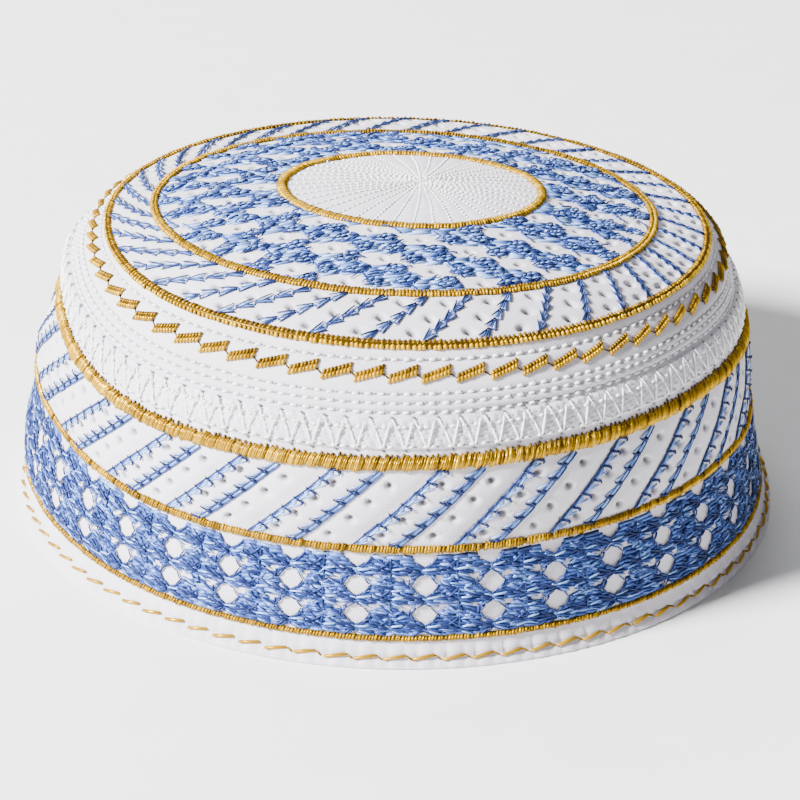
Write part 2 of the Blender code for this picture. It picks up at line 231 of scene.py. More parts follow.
# %% [markdown]
# ## The woven net of the crown's blue field
#
# The blue field is embroidered on flat cloth before the crown is domed, so its small white windows
# stand in straight slanted rows, like the squares of a checked scarf. Doming bends the rows a
# little towards the back. Each window has one needle hole.

# %% Windows of the crown field
FIELD_INSIDE, FIELD_OUTSIDE = 32.0, 59.0
WINDOW_TALL, WINDOW_WIDE, WINDOW_LEAN = 2.15, 4.6, 0.66


def field_place(column, row):
    """Flat place of a window, in millimetres to the right of and in front of the crown's middle."""
    x = 2.0 + 11.4 * column + 3.6 * row
    y = 37.4 + 4.0 * column + 13.4 * row
    y = np.where(y < 30, 30 + 1.3 * (y - 30), y)
    y = y - np.where(x < 0, 0.004, 0.002) * x ** 2
    x = x - 0.006 * np.maximum(x - 25, 0) ** 2 + 0.004 * np.maximum(-x - 25, 0) ** 2
    return x, y


def flat_to_cap(x, y):
    """Length and turn of a flat place on the crown."""
    return np.hypot(x, y), np.degrees(np.arctan2(x, y))


grid_column, grid_row = (g.ravel() for g in np.meshgrid(np.arange(-14, 15), np.arange(-9, 6)))
window_x, window_y = field_place(grid_column, grid_row)
window_from_middle = np.hypot(window_x, window_y)
kept = (window_from_middle > FIELD_INSIDE - 6) & (window_from_middle < FIELD_OUTSIDE + 7)
CROWN_WINDOWS = np.stack([window_x[kept], window_y[kept]], 1)
print("white windows in the crown field:", len(CROWN_WINDOWS))

# %% Needle holes


def eyelet_rows():
    """Every needle hole: length, turn, half length and half width in mm, tilt, depth."""
    holes = []
    lengths, turns = flat_to_cap(CROWN_WINDOWS[:, 0] + 0.4, CROWN_WINDOWS[:, 1] - 0.1)
    for length, turn in zip(lengths, turns):
        if FIELD_INSIDE + 1.5 < length < FIELD_OUTSIDE - 1.5:
            holes.append((length, turn, 0.80, 0.60, 35, 1.1))
    for number in range(BORDER_LINES):
        start = (border_start(number) + border_start(number + 1)) / 2
        for length in (62.9, 66.8, 70.5):
            climb = (72.8 - length) / 11.8
            turn = start + border_slant(start) * climb + 1.1
            holes.append((length, turn, 0.92, 0.60, 25, 1.2))
    for number in range(WALL_LINES):
        for step in range(4):
            length = 101.9 + 4.0 * step
            turn = wall_top(number) - WALL_LEAN * (length - WALL_TOP) + (2.6 if number % 2 == 0 else 3.4)
            holes.append((length, turn, 0.80, 0.62, 10, 1.2))
    holes = np.array(holes)
    holes[:, 0] += dice.normal(0, 0.12, len(holes))
    holes[:, 1] += dice.normal(0, 0.12, len(holes))
    holes[:, 4] += dice.normal(0, 14, len(holes))
    holes[:, 5] *= dice.uniform(0.75, 1.1, len(holes))
    return holes


EYELETS = eyelet_rows()
print("needle holes:", len(EYELETS))

# %% [markdown]
# ## The relief of the quilted cloth
#
# Thread pulls the cloth down wherever the needle went through, and the cloth puffs up between. The
# relief is one function of length and turn, so cloth and stitches always agree. Needle holes are
# narrow pits with a soft raised rim, and their insides are painted dark as shade.

# %% Relief of each zone
PIT_REACH = 3.2


def pits(length, turn):
    """Lift in millimetres of the needle holes, and their painted shade from 0 to 1."""
    lift = np.zeros(length.shape)
    dark = np.zeros(length.shape)
    for at, where, long, wide, tilt, depth in EYELETS:
        near = np.flatnonzero(np.abs(length - at) < PIT_REACH)
        across = wrap(turn[near] - where) * around(at)
        picked = np.abs(across) < PIT_REACH
        near, across = near[picked], across[picked]
        down = length[near] - at
        cos, sin = math.cos(math.radians(tilt)), math.sin(math.radians(tilt))
        u, v = across * cos + down * sin, down * cos - across * sin
        reach = np.sqrt((u / long) ** 2 + (v / wide) ** 2)
        lift[near] += depth * (0.20 * hill(reach - 2.0, 0.8) - hill(reach, 1.0) - 0.30 * hill(reach, 2.4))
        # Painted shade: the middle of each hole is darkened in colour, as the shaded inside of the pit.
        dark[near] = np.maximum(dark[near], 1 / (1 + np.exp((reach - 0.95) / 0.2)))
    return lift, dark


def swell(length, turn):
    """Soft puffs of the quilted cloth between its stitches, which thread follows too."""
    lift = np.zeros(np.broadcast(length, turn).shape)
    wander = np.radians(turn)
    lift += 0.10 * np.sin(7 * wander + length * 0.11) * np.sin(length * 0.23 + 2 * wander)
    lift += 0.05 * np.sin(23 * wander + length * 0.4) * np.sin(length * 0.9)
    nearest = (turn + QUILT_STEP / 2) % QUILT_STEP - QUILT_STEP / 2
    beside = nearest * around(length)
    centre = 1 / (1 + np.exp((length - 30) / 0.4)) * np.clip((length - 0.8) / 4, 0, 1)
    lift -= centre * (0.10 * hill(beside, 0.50) + 0.08 * hill(beside, 1.2) - 0.04)
    lift -= 0.35 * hill(length, 1.6)
    for row in RUNNING_ROWS:
        lift -= 0.42 * hill(length - row, 0.5)
        lift += 0.12 * hill(np.abs(length - row) - 1.1, 0.5)
    pull = np.cos(np.radians(turn * ZIGZAGS)) * 0.5 + 0.5
    lift += hill(length - 94.6, 1.0) * (0.45 * (1 - pull) - 0.15)
    top = turn + (length - WALL_TOP) * WALL_LEAN
    hooks = np.cos(np.radians(top - FIRST_WALL_LINE - wall_bend(top)) * WALL_LINES) * 0.5 + 0.5
    wall = 1 / (1 + np.exp((99.4 - length) / 0.4)) / (1 + np.exp((length - 115.4) / 0.4))
    lift += wall * (0.38 - 0.55 * hooks ** 3)
    tuck = (((turn - FIRST_TUCK) * DASHES / 360) % 1 - 0.5) * 360 / DASHES * around(length)
    skirt = 1 / (1 + np.exp((140.2 - length) / 0.3))
    lift += skirt * (0.32 - 0.75 * hill(np.abs(tuck) - 2, 0.5) - 0.42 * hill(length - 143.2, 0.7))
    return lift


def relief(length, turn):
    """Lift of the outer face of the cloth, and its painted shade in needle holes and along the running rows.
    """
    lift, dark = pits(length, turn)
    # Painted shade along the grooves of the running rows.
    for row in RUNNING_ROWS:
        dark = np.maximum(dark, 0.16 * hill(length - row, 0.4))
    return lift + swell(length, turn), dark


probe = relief(np.array([110.0, 94.6]), np.array([0.0, 1.7]))
print("relief on the wall and over the upper cord:", np.round(probe[0], 2), "mm")

# %% [markdown]
# ## Materials
#
# Cotton is matt with a fine diagonal weave and a slight sheen, so its colour comes from two noise
# scales and its surface from two crossed waves as fine as the real threads. Embroidery thread is
# rayon: smooth, silky, with many fine fibres along each stitch. One number on each stitch, its
# shade, picks the colour, as a real bobbin's colour and the light in the nap vary from stitch to
# stitch.

# %% Helpers for objects and node trees


def add_object(name, data):
    thing = bpy.data.objects.new(name, data)
    bpy.context.collection.objects.link(thing)
    return thing


def add_node(tree, kind, inputs=None, **settings):
    """Makes a node and returns its outputs. An input is a value or another node's output."""
    node = tree.nodes.new(kind)
    for label, value in settings.items():
        setattr(node, label, value)
    for label, value in (inputs or {}).items():
        if isinstance(value, bpy.types.NodeSocket):
            tree.links.new(value, node.inputs[label])
        else:
            node.inputs[label].default_value = value
    return node.outputs


def math_node(tree, operation, *values):
    return add_node(tree, "ShaderNodeMath", dict(enumerate(values)), operation=operation)[0]


def noise(tree, place, scale, detail=2):
    return add_node(tree, "ShaderNodeTexNoise", {"Vector": place, "Scale": scale, "Detail": detail})["Fac"]


def ramp(tree, factor, stops):
    node = tree.nodes.new("ShaderNodeValToRGB")
    while len(node.color_ramp.elements) < len(stops):
        node.color_ramp.elements.new(0.5)
    for element, (place, colour) in zip(node.color_ramp.elements, stops):
        element.position = place
        element.color = (*colour, 1)
    tree.links.new(factor, node.inputs["Fac"])
    return node.outputs["Color"]


def new_material(name):
    material = bpy.data.materials.new(name)
    material.use_nodes = True
    material.node_tree.nodes.clear()
    return material, material.node_tree


def add_surface(tree, inputs):
    shaded = add_node(tree, "ShaderNodeBsdfPrincipled", inputs)[0]
    add_node(tree, "ShaderNodeOutputMaterial", {"Surface": shaded})


# %% White quilted cotton
WARP, WEFT = 0.55, 2.25     # directions of the threads on the flat cloth, in radians
# Painted shade: the cloth's colour is mixed towards this dark grey in needle holes and grooves.
PAINTED_SHADE_COLOUR = (0.20, 0.19, 0.21, 1)


def cotton_material(name, threads_per_metre, tint, roughness=0.78):
    material, tree = new_material(name)
    place = add_node(tree, "ShaderNodeTexCoord")["Object"]
    uv = add_node(tree, "ShaderNodeUVMap", uv_map="UVMap")["UV"]
    waves = []
    for turn in (WARP, WEFT):
        spun = add_node(tree, "ShaderNodeMapping", {"Vector": uv, "Rotation": (0, 0, turn)})["Vector"]
        waves.append(add_node(tree, "ShaderNodeTexWave", {
            "Vector": spun, "Scale": threads_per_metre / 20 * math.pi, "Distortion": 0.6, "Detail": 1},
            bands_direction="X")["Fac"])
    weave = math_node(tree, "MULTIPLY_ADD", waves[1], 0.6, waves[0])
    grain = math_node(tree, "MULTIPLY_ADD", noise(tree, place, 1400), 0.7, weave)
    bump = add_node(tree, "ShaderNodeBump", {"Strength": 0.35, "Distance": 0.00006, "Height": grain})[0]
    colour = ramp(tree, noise(tree, place, 45, 4), [(0.25, tuple(c * 0.86 for c in tint)), (0.75, tint)])
    thread_shade = add_node(tree, "ShaderNodeMapRange", {
        "Value": grain, "From Max": 2.3, "To Min": 0.93, "To Max": 1.03})[0]
    tinted = add_node(tree, "ShaderNodeMix", {"Factor": 1, "A": colour, "B": thread_shade},
                      data_type="RGBA", blend_type="MULTIPLY")["Result"]
    # Painted shade in needle holes and stitched grooves, read from an attribute of the cloth.
    painted_shade = add_node(tree, "ShaderNodeAttribute", attribute_name="painted_shade")["Fac"]
    deep = add_node(tree, "ShaderNodeMix", {"Factor": painted_shade, "A": tinted, "B": PAINTED_SHADE_COLOUR},
                    data_type="RGBA", blend_type="MIX")["Result"]
    add_surface(tree, {"Base Color": deep, "Normal": bump, "Roughness": roughness, "Sheen Weight": 0.12,
                       "Sheen Roughness": 0.4, "Specular IOR Level": 0.3})
    return material


white_cotton = cotton_material("white cotton", 3300, (0.715, 0.685, 0.760))
pressed_tape = cotton_material("pressed tape", 2600, (0.75, 0.722, 0.80), 0.30)
print("cotton materials:", white_cotton.name, "and", pressed_tape.name)

# %% Silky embroidery thread


def thread_material(name, stops, roughness, glint, metal):
    """Rayon thread: colour by the stitch's own shade, fine fibres along it, tinted highlights."""
    material, tree = new_material(name)
    place = add_node(tree, "ShaderNodeTexCoord")["Object"]
    uv = add_node(tree, "ShaderNodeUVMap", uv_map="UVMap")["UV"]
    shade = add_node(tree, "ShaderNodeAttribute", attribute_name="shade")["Fac"]
    varied = math_node(tree, "MULTIPLY_ADD", noise(tree, place, 260), 0.22, shade)
    colour = ramp(tree, math_node(tree, "SUBTRACT", varied, 0.11), stops)
    fibres = add_node(tree, "ShaderNodeMapping", {
        "Vector": uv, "Rotation": (0, 0, 0.12), "Scale": (3, 26, 1)})["Vector"]
    bump = add_node(tree, "ShaderNodeBump", {
        "Strength": 0.5, "Distance": 0.00005, "Height": noise(tree, fibres, 1)})[0]
    add_surface(tree, {"Base Color": colour, "Normal": bump, "Roughness": roughness, "Metallic": metal,
                       "Specular IOR Level": 0.3, "Specular Tint": (*glint, 1)})
    return material


gold_thread = thread_material("gold thread", [
    (0.0, (0.05, 0.026, 0.002)), (0.3, (0.18, 0.093, 0.003)),
    (0.65, (0.50, 0.280, 0.008)), (1.0, (0.92, 0.61, 0.034))], 0.30, (1.0, 0.70, 0.17), 0.4)
blue_thread = thread_material("blue thread", [
    (0.0, (0.014, 0.021, 0.080)), (0.33, (0.034, 0.057, 0.205)),
    (0.66, (0.085, 0.160, 0.49)), (1.0, (0.34, 0.53, 0.93))], 0.34, (0.55, 0.73, 1.0), 0.22)
# Its darkest stop serves painted shade: grooves and needle holes are drawn as white thread given a dark
# shade.
white_thread = thread_material("white thread", [
    (0.0, (0.16, 0.16, 0.18)), (0.5, (0.66, 0.67, 0.71)), (1.0, (0.96, 0.96, 0.97))], 0.22,
    (1.0, 1.0, 1.0), 0.0)
print("thread materials:", gold_thread.name, blue_thread.name, white_thread.name)

# %% [markdown]
# ## The cloth pieces
#
# Each cloth piece is one closed shell with a real thickness: an outer face with the relief, a
# turned edge and an inner face. It is drawn flat first, as a grid of turn and length, and only the
# squares near a needle hole are split finer. Then the flat grid is wrapped around the cap. A plain
# fine grid would spend a million faces on cloth that is smooth.

# %% Draw a shell flat, refine it at the holes and wrap it
# Squares around each cloth, and the radius in millimetres at which its flat cloth is drawn.
CROWN_COLUMNS, BAND_COLUMNS, HEM_COLUMNS, STRIP_COLUMNS = 400, 500, 630, 840
BAND_RADIUS, HEM_RADIUS, STRIP_RADIUS = 88, 94, 83


def flat_grid(rows, columns):
    turns = np.linspace(-180, 180, columns + 1)
    grid = bmesh.new()
    verts = [[grid.verts.new((turn, row, 0)) for turn in turns] for row in rows]
    for upper, lower in zip(verts[:-1], verts[1:]):
        for k in range(columns):
            grid.faces.new((upper[k], lower[k], lower[k + 1], upper[k + 1]))
    return grid


def refine_at_holes(grid, last_length, reaches=(1.5, 0.95)):
    """Splits the squares near needle holes, once for each reach in millimetres."""
    for reach in reaches:
        faces = list(grid.faces)
        middles = np.array([face.calc_center_median()[:2] for face in faces])
        chosen = np.zeros(len(faces), bool)
        for at, where, *_ in EYELETS[EYELETS[:, 0] < last_length]:
            near = np.flatnonzero(np.abs(middles[:, 1] - at) < reach)
            across = wrap(middles[near, 0] - where) * around(at)
            chosen[near[np.abs(across) < reach]] = True
        edges = {edge for k in np.flatnonzero(chosen) for edge in faces[k].edges}
        bmesh.ops.subdivide_edges(grid, edges=list(edges), cuts=1, use_grid_fill=True)


def wrap_shell(name, grid, place, spread, material):
    """Moves a flat grid onto the cap. place gives points and painted shade, spread the flat cloth."""
    # This attribute holds the painted shade of holes and grooves.
    painted_shade = grid.verts.layers.float.new("painted_shade")
    uv_layer = grid.loops.layers.uv.new("UVMap")
    verts = list(grid.verts)
    flat = np.array([vert.co[:2] for vert in verts])
    points, dark = place(flat[:, 1], flat[:, 0])
    uv = spread(flat[:, 1], flat[:, 0])
    grid.verts.index_update()
    for face in grid.faces:
        face.smooth = True
        for loop in face.loops:
            loop[uv_layer].uv = uv[loop.vert.index]
    for vert, point, value in zip(verts, points * MM, dark):
        vert.co = point
        vert[painted_shade] = value
    bmesh.ops.remove_doubles(grid, verts=grid.verts[:], dist=2e-6)
    mesh = bpy.data.meshes.new(name)
    grid.to_mesh(mesh)
    grid.free()
    mesh.materials.append(material)
    return add_object(name, mesh)


def report(piece):
    print(piece.name, sum(len(face.vertices) - 2 for face in piece.data.polygons), "triangles")


# %% [markdown]
# The crown is a disc of quilted cotton about 18 cm across. It starts at the pole, runs out to the
# seam, turns under its edge and comes back on the inside. The middle is stitched down by forty
# radial lines that meet at the top.

# %% Crown cloth
THICKNESS = 1.8


def rows_between(start, stop, step, extra=()):
    rows = np.linspace(start, stop, int(round((stop - start) / step)) + 1)
    for row in extra:
        rows = rows[np.abs(rows - row) > 0.75]
        rows = np.r_[rows, row - 0.55, row - 0.25, row, row + 0.25, row + 0.55]
    return np.sort(rows)


def folded(rows, end, inner_rows):
    """Turns outer rows, an edge and inner rows into one running coordinate."""
    edge = end + THICKNESS * np.array([0.25, 0.5, 0.75])
    inner = end + THICKNESS + (end - inner_rows)
    return np.r_[rows[rows <= end], edge, inner]


def folded_place(running, turn, end):
    """Points of a folded shell; past the end the cloth turns under and comes back inside."""
    length = np.where(running <= end, running, np.maximum(end, 0))
    back = running - end - THICKNESS
    length = np.where(back >= 0, end - back, length)
    share = np.clip((running - end) / THICKNESS, 0, 1)
    lift, dark = relief(length, turn)
    outer = running <= end
    round_edge = np.sin(share * math.pi) * 0.45
    inside = -THICKNESS * share + 0.35 * np.minimum(lift, 0.2) * (back >= 0)
    total = np.where(outer, lift, inside + lift * (1 - share) * (back < 0))
    points = surface(np.clip(length + round_edge, 0, CLOTH_END), turn, total)
    return points, np.where(outer, dark, 0)


def crown_spread(running, turn):
    back = running > SEAM
    length = np.where(back, 2 * SEAM + THICKNESS - running, running)
    angle = np.radians(turn)
    return np.stack([length * np.sin(angle), -length * np.cos(angle)], 1) * MM


crown_rows = np.r_[0, 0.8, rows_between(1.7, 30.2, 0.95),
                   rows_between(31.1, SEAM, 0.92, RUNNING_ROWS)]
crown_grid = flat_grid(folded(crown_rows, SEAM, np.r_[SEAM, np.arange(87, 3, -5.0), 1.5, 0]),
                       CROWN_COLUMNS)
refine_at_holes(crown_grid, 74)
crown_cloth = wrap_shell("crown_cloth", crown_grid,
                         lambda run, turn: folded_place(run, turn, SEAM), crown_spread, white_cotton)
report(crown_cloth)

# %% [markdown]
# The side band is a straight strip sewn into a ring. It widens slightly towards the hem, and its
# inner face is plain.

# %% Side band cloth
band_rows = rows_between(SEAM, BAND_END, 0.92)


def band_place(running, turn):
    """The band's outer face, lower edge, inner face and upper edge, in that order."""
    height = BAND_END - SEAM
    run = running - SEAM
    share = np.clip((run - height) / THICKNESS, 0, 1) - np.clip(
        (run - 2 * height - THICKNESS) / THICKNESS, 0, 1)
    length = np.clip(np.where(run <= height, run, 2 * height + THICKNESS - run), 0, height) + SEAM
    length = np.where((run > height) & (run < height + THICKNESS), BAND_END, length)
    lift, dark = relief(length, turn)
    outer = share <= 0
    soft = 0.35 * np.minimum(lift, 0.2)
    total = lift * (1 - share) + share * (soft - THICKNESS)
    return surface(length, turn, total), np.where(outer, dark, 0)


def band_spread(running, turn):
    return np.stack([np.radians(turn) * BAND_RADIUS, -running], 1) * MM


height = BAND_END - SEAM
inner_run = BAND_END + THICKNESS + np.linspace(0, height, 12)
top_run = inner_run[-1] + THICKNESS * np.array([0.33, 0.66, 1.0])
band_all = np.r_[band_rows, BAND_END + THICKNESS * np.array([0.33, 0.66]), inner_run, top_run]
band_grid = flat_grid(band_all, BAND_COLUMNS)
refine_at_holes(band_grid, 118)
band_cloth = wrap_shell("band_cloth", band_grid, band_place, band_spread, white_cotton)
report(band_cloth)

# %% [markdown]
# The hem is the band's lower edge, turned up as one thick fold. Its row of long gold stitches pulls
# the fold in near every needle hole, which leaves soft puffs between them.

# %% Hem
HEM_THICKNESS = 2.6


def hem_section():
    """Length down the cloth, level way inwards and rise of each point around the fold."""
    section = [(length, 0.0) for length in np.linspace(BAND_END, 145.2, 13)]
    section += [(145.6, 0.08), (145.85, 0.25), (146.0, 0.55), (146.0, 1.3), (146.0, 2.05)]
    section += [(145.85, 2.35), (145.6, 2.52), (145.2, HEM_THICKNESS)]
    section += [(length, HEM_THICKNESS) for length in np.linspace(144.6, BAND_END, 8)]
    section += [(BAND_END, 1.7), (BAND_END, 0.8), (BAND_END, 0.0)]
    return np.array(section)


HEM_SECTION = hem_section()


def hem_place(running, turn):
    length = np.interp(running, np.arange(len(HEM_SECTION)), HEM_SECTION[:, 0])
    inward = np.interp(running, np.arange(len(HEM_SECTION)), HEM_SECTION[:, 1])
    lift = relief(length, turn)[0]
    face = np.clip(1 - inward / 0.6, 0, 1) * np.clip((145.9 - length) / 0.6, 0, 1)
    back = np.clip((inward - 2.0) / 0.6, 0, 1) * 0.4
    points = surface(length, turn, lift * face)
    level = -outward(length, turn)
    level[:, 2] = 0
    level /= np.linalg.norm(level, axis=1, keepdims=True)
    points += level * (inward - lift * back)[:, None]
    points[:, 2] = np.maximum(points[:, 2], 0)
    return points, np.zeros(lift.shape)


hem_grid = flat_grid(np.arange(len(HEM_SECTION)), HEM_COLUMNS)
hem_cloth = wrap_shell(
    "hem_cloth", hem_grid, hem_place,
    lambda run, turn: np.stack([np.radians(turn) * HEM_RADIUS, -run * 0.8], 1) * MM, white_cotton)
report(hem_cloth)

# %% [markdown]
# Crown and band meet in a puckered white strip. Each zigzag of the seam thread gathers it, so the
# strip bulges between the thread's turning points.

# %% Seam strip
STRIP_TOP, STRIP_END = 87.0, 94.2


def strip_place(running, turn):
    width = STRIP_END - STRIP_TOP
    run = running - STRIP_TOP
    outer = run <= width
    length = STRIP_TOP + np.clip(np.where(outer, run, 2 * width + 1 - run), 0, width)
    share = (length - STRIP_TOP) / width
    cover = np.sqrt(np.clip(1 - (2 * share - 1) ** 4, 0, 1))
    phase = np.radians(turn * ZIGZAGS)
    pucker = (0.5 - 0.5 * np.cos(phase)) * share + (0.5 + 0.5 * np.cos(phase)) * (1 - share)
    rough = 0.34 * np.sin(turn * 3.3 + length * 2.1) * np.sin(turn * 1.7 - length * 3.9)
    rough += 0.14 * np.sin(turn * 5.1 + length * 1.3)
    rise = 0.15 + cover * (0.35 + 0.62 * pucker + rough)
    rise -= 0.22 * hill(length - 89.2, 0.35) * cover + 0.22 * hill(length - 93.4, 0.3) * cover
    under = -0.6
    # A little painted shade along the stitched groove near the top of the strip.
    return surface(length, turn, np.where(outer, rise, under)), 0.05 * hill(length - 89.2, 0.3) * outer


strip_run = STRIP_TOP + np.r_[np.linspace(0, 7.2, 19), 7.2 + 1 + np.linspace(0, 7.2, 5)]
strip_grid = flat_grid(np.r_[strip_run, STRIP_TOP + 2 * 7.2 + 1.001], STRIP_COLUMNS)
seam_cloth = wrap_shell(
    "seam_strip_cloth", strip_grid, strip_place,
    lambda run, turn: np.stack([np.radians(turn) * STRIP_RADIUS, -run], 1) * MM, pressed_tape)
report(seam_cloth)
cloth_pieces = [crown_cloth, band_cloth, hem_cloth, seam_cloth]

# %% [markdown]
# ## Stitches with Geometry Nodes
#
# A stitch is a short arched piece of thread between two needle points. There are some 27
# thousand here, so one small mesh per kind of stitch is made once, and Geometry Nodes put it on
# points that carry the stitch's direction, size and shade. Sculpting them one by one would take
# months; a displaced texture would have no thread edges.

# %% The mesh of one stitch


def stitch_mesh(name, rings, sides, arch, thin, blunt=0.42):
    """An arched thread one unit long. blunt is how far out its full width reaches, up to 0.5."""
    mesh = bmesh.new()
    uv_layer = mesh.loops.layers.uv.new("UVMap")
    middles = []
    for ring in range(rings):
        share = (ring + 0.5) / rings
        angle = math.pi * (1 - share)
        x = 0.5 * math.cos(angle) if arch == "round" else (2 * ring / (rings - 1) - 1) * blunt
        top = {"round": math.sin(angle), "low": 1 - 2.4 * x ** 2, "flat": 0.7}[arch]
        fat = 0.84 + 0.16 * math.sin(math.pi * share)
        middles.append((x, top * (1 - thin) - 0.1, fat, angle))
    loops = []
    for x, z, fat, angle in middles:
        loop = []
        for side in range(sides):
            around_it = 2 * math.pi * side / sides
            wide = 0.5 * fat * math.sin(around_it)
            thick = thin * fat * math.cos(around_it)
            lean = math.cos(angle) * 0.6 if arch == "round" else 0
            loop.append(mesh.verts.new((x + thick * lean * 0.5, wide, z + thick)))
        loops.append(loop)
    first = mesh.verts.new((-0.5, 0, -0.25))
    last = mesh.verts.new((0.5, 0, -0.25))
    for one, two in zip(loops[:-1], loops[1:]):
        for k in range(sides):
            mesh.faces.new((one[k], one[(k + 1) % sides], two[(k + 1) % sides], two[k]))
    for k in range(sides):
        mesh.faces.new((first, loops[0][(k + 1) % sides], loops[0][k]))
        mesh.faces.new((last, loops[-1][k], loops[-1][(k + 1) % sides]))
    bmesh.ops.recalc_face_normals(mesh, faces=mesh.faces[:])
    for face in mesh.faces:
        face.smooth = True
        for loop in face.loops:
            co = loop.vert.co
            loop[uv_layer].uv = (co.x + 0.5, 0.5 + 0.5 * co.y + 0.25 * co.z)
    data = bpy.data.meshes.new(name)
    mesh.to_mesh(data)
    mesh.free()
    shape = add_object(name, data)
    report(shape)
    return shape


satin_shape = stitch_mesh("satin stitch", 4, 4, "round", 0.30)
bead_shape = stitch_mesh("short satin stitch", 3, 4, "round", 0.32)
strand_shape = stitch_mesh("low strand", 3, 4, "low", 0.45, 0.40)
filling_shape = stitch_mesh("filling strand", 2, 4, "flat", 0.45, 0.46)

# %% The tree that sews


def new_tree(name, inputs):
    """A tree with a geometry input and these others: label, socket type and value."""
    tree = bpy.data.node_groups.new(name, "GeometryNodeTree")
    for label, kind, value in [("Geometry", "NodeSocketGeometry", None), *inputs]:
        socket = tree.interface.new_socket(label, in_out="INPUT", socket_type=kind)
        if value is not None:
            socket.default_value = value
    tree.interface.new_socket("Geometry", in_out="OUTPUT", socket_type="NodeSocketGeometry")
    return tree, add_node(tree, "NodeGroupInput")


def finish_tree(tree, geometry, thread):
    """Turns instances into plain geometry and gives it its thread."""
    real = add_node(tree, "GeometryNodeRealizeInstances", {"Geometry": geometry})[0]
    threaded = add_node(tree, "GeometryNodeSetMaterial", {"Geometry": real, "Material": thread})[0]
    add_node(tree, "NodeGroupOutput", {"Geometry": threaded})
    return tree


def sewing_tree():
    tree, start = new_tree("sew stitches on points", [
        ("Stitch", "NodeSocketObject", None), ("Thread", "NodeSocketMaterial", None),
        ("Unevenness", "NodeSocketFloat", 0.12), ("Seed", "NodeSocketInt", 3)])
    along, upward, size = [
        add_node(tree, "GeometryNodeInputNamedAttribute", {"Name": name}, data_type="FLOAT_VECTOR")[0]
        for name in ("along", "upward", "size")]
    aim = add_node(tree, "FunctionNodeAxesToRotation", {"Primary Axis": along, "Secondary Axis": upward},
                   primary_axis="X", secondary_axis="Z")[0]
    low = math_node(tree, "SUBTRACT", 1, start["Unevenness"])
    high = math_node(tree, "ADD", 1, start["Unevenness"])
    chance = add_node(tree, "FunctionNodeRandomValue", {2: low, 3: high, "Seed": start["Seed"]},
                      data_type="FLOAT")[1]
    uneven = add_node(tree, "ShaderNodeCombineXYZ", {"X": 1, "Y": chance, "Z": chance})[0]
    varied = add_node(tree, "ShaderNodeVectorMath", {0: size, 1: uneven}, operation="MULTIPLY")[0]
    shape = add_node(tree, "GeometryNodeObjectInfo", {"Object": start["Stitch"]},
                     transform_space="ORIGINAL")["Geometry"]
    put = add_node(tree, "GeometryNodeInstanceOnPoints", {
        "Points": start["Geometry"], "Instance": shape, "Rotation": aim, "Scale": varied})[0]
    return finish_tree(tree, put, start["Thread"])


SEWING = sewing_tree()
print("sewing tree with", len(SEWING.nodes), "nodes")

# %% The tree that lays a cord
# Under the satin stitches of a gold row lies a padding cord. It follows a ring of points.


def cord_tree():
    tree, start = new_tree("lay a padding cord", [
        ("Thread", "NodeSocketMaterial", None), ("Radius", "NodeSocketFloat", 0.001),
        ("Sides", "NodeSocketInt", 8)])
    path = add_node(tree, "GeometryNodeMeshToCurve", {0: start["Geometry"]})[0]
    section = add_node(tree, "GeometryNodeCurvePrimitiveCircle", {
        "Radius": start["Radius"], "Resolution": start["Sides"]})[0]
    sweep = add_node(tree, "GeometryNodeCurveToMesh", {"Curve": path, "Profile Curve": section})[0]
    return finish_tree(tree, sweep, start["Thread"])


CORDING = cord_tree()
print("cord tree with", len(CORDING.nodes), "nodes")

# %% Run a tree and keep plain meshes


def run_tree(source, tree, values):
    """Evaluates a tree on an object and returns its result as a plain mesh."""
    modifier = source.modifiers.new("nodes", "NODES")
    modifier.node_group = tree
    for item in tree.interface.items_tree:
        if item.in_out == "INPUT" and item.name in values:
            modifier[item.identifier] = values[item.name]
    bpy.context.view_layer.update()
    evaluated = source.evaluated_get(bpy.context.evaluated_depsgraph_get())
    mesh = bpy.data.meshes.new_from_object(evaluated)
    bpy.data.objects.remove(source)
    return mesh


def thread_points(rows):
    """Rows of length, turn, length, turn, width, height, shade, lift become attributed points."""
    rows = np.asarray(rows, float)
    start, stop = (
        surface(rows[:, k], rows[:, k + 1], rows[:, 7] + swell(rows[:, k], rows[:, k + 1])) for k in (0, 2))
    along = stop - start
    reach = np.linalg.norm(along, axis=1)
    turn = rows[:, 1] + wrap(rows[:, 3] - rows[:, 1]) / 2
    upward = outward((rows[:, 0] + rows[:, 2]) / 2, turn)
    size = np.stack([reach, rows[:, 4], rows[:, 5]], 1) * MM
    return (start + stop) / 2 * MM, along / reach[:, None], upward, size, rows[:, 6]


def path_object(name, points, edges=()):
    mesh = bpy.data.meshes.new(name)
    mesh.from_pydata(points.tolist(), list(edges), [])
    return add_object(name, mesh)


def set_attribute(mesh, label, kind, field, values):
    attribute = mesh.attributes.new(label, kind, "POINT")
    attribute.data.foreach_set(field, np.ascontiguousarray(values, np.float32).ravel())


def sew(name, rows, shape, material, unevenness=0.12):
    """Sews all rows of one family as one plain mesh."""
    middle, along, upward, size, shade = thread_points(rows)
    source = path_object(name + " points", middle)
    for label, values in (("along", along), ("upward", upward), ("size", size)):
        set_attribute(source.data, label, "FLOAT_VECTOR", "vector", values)
    set_attribute(source.data, "shade", "FLOAT", "value", shade)
    return run_tree(source, SEWING, {
        "Stitch": shape, "Thread": material, "Unevenness": unevenness, "Seed": 3})


CORE_POINTS = 240


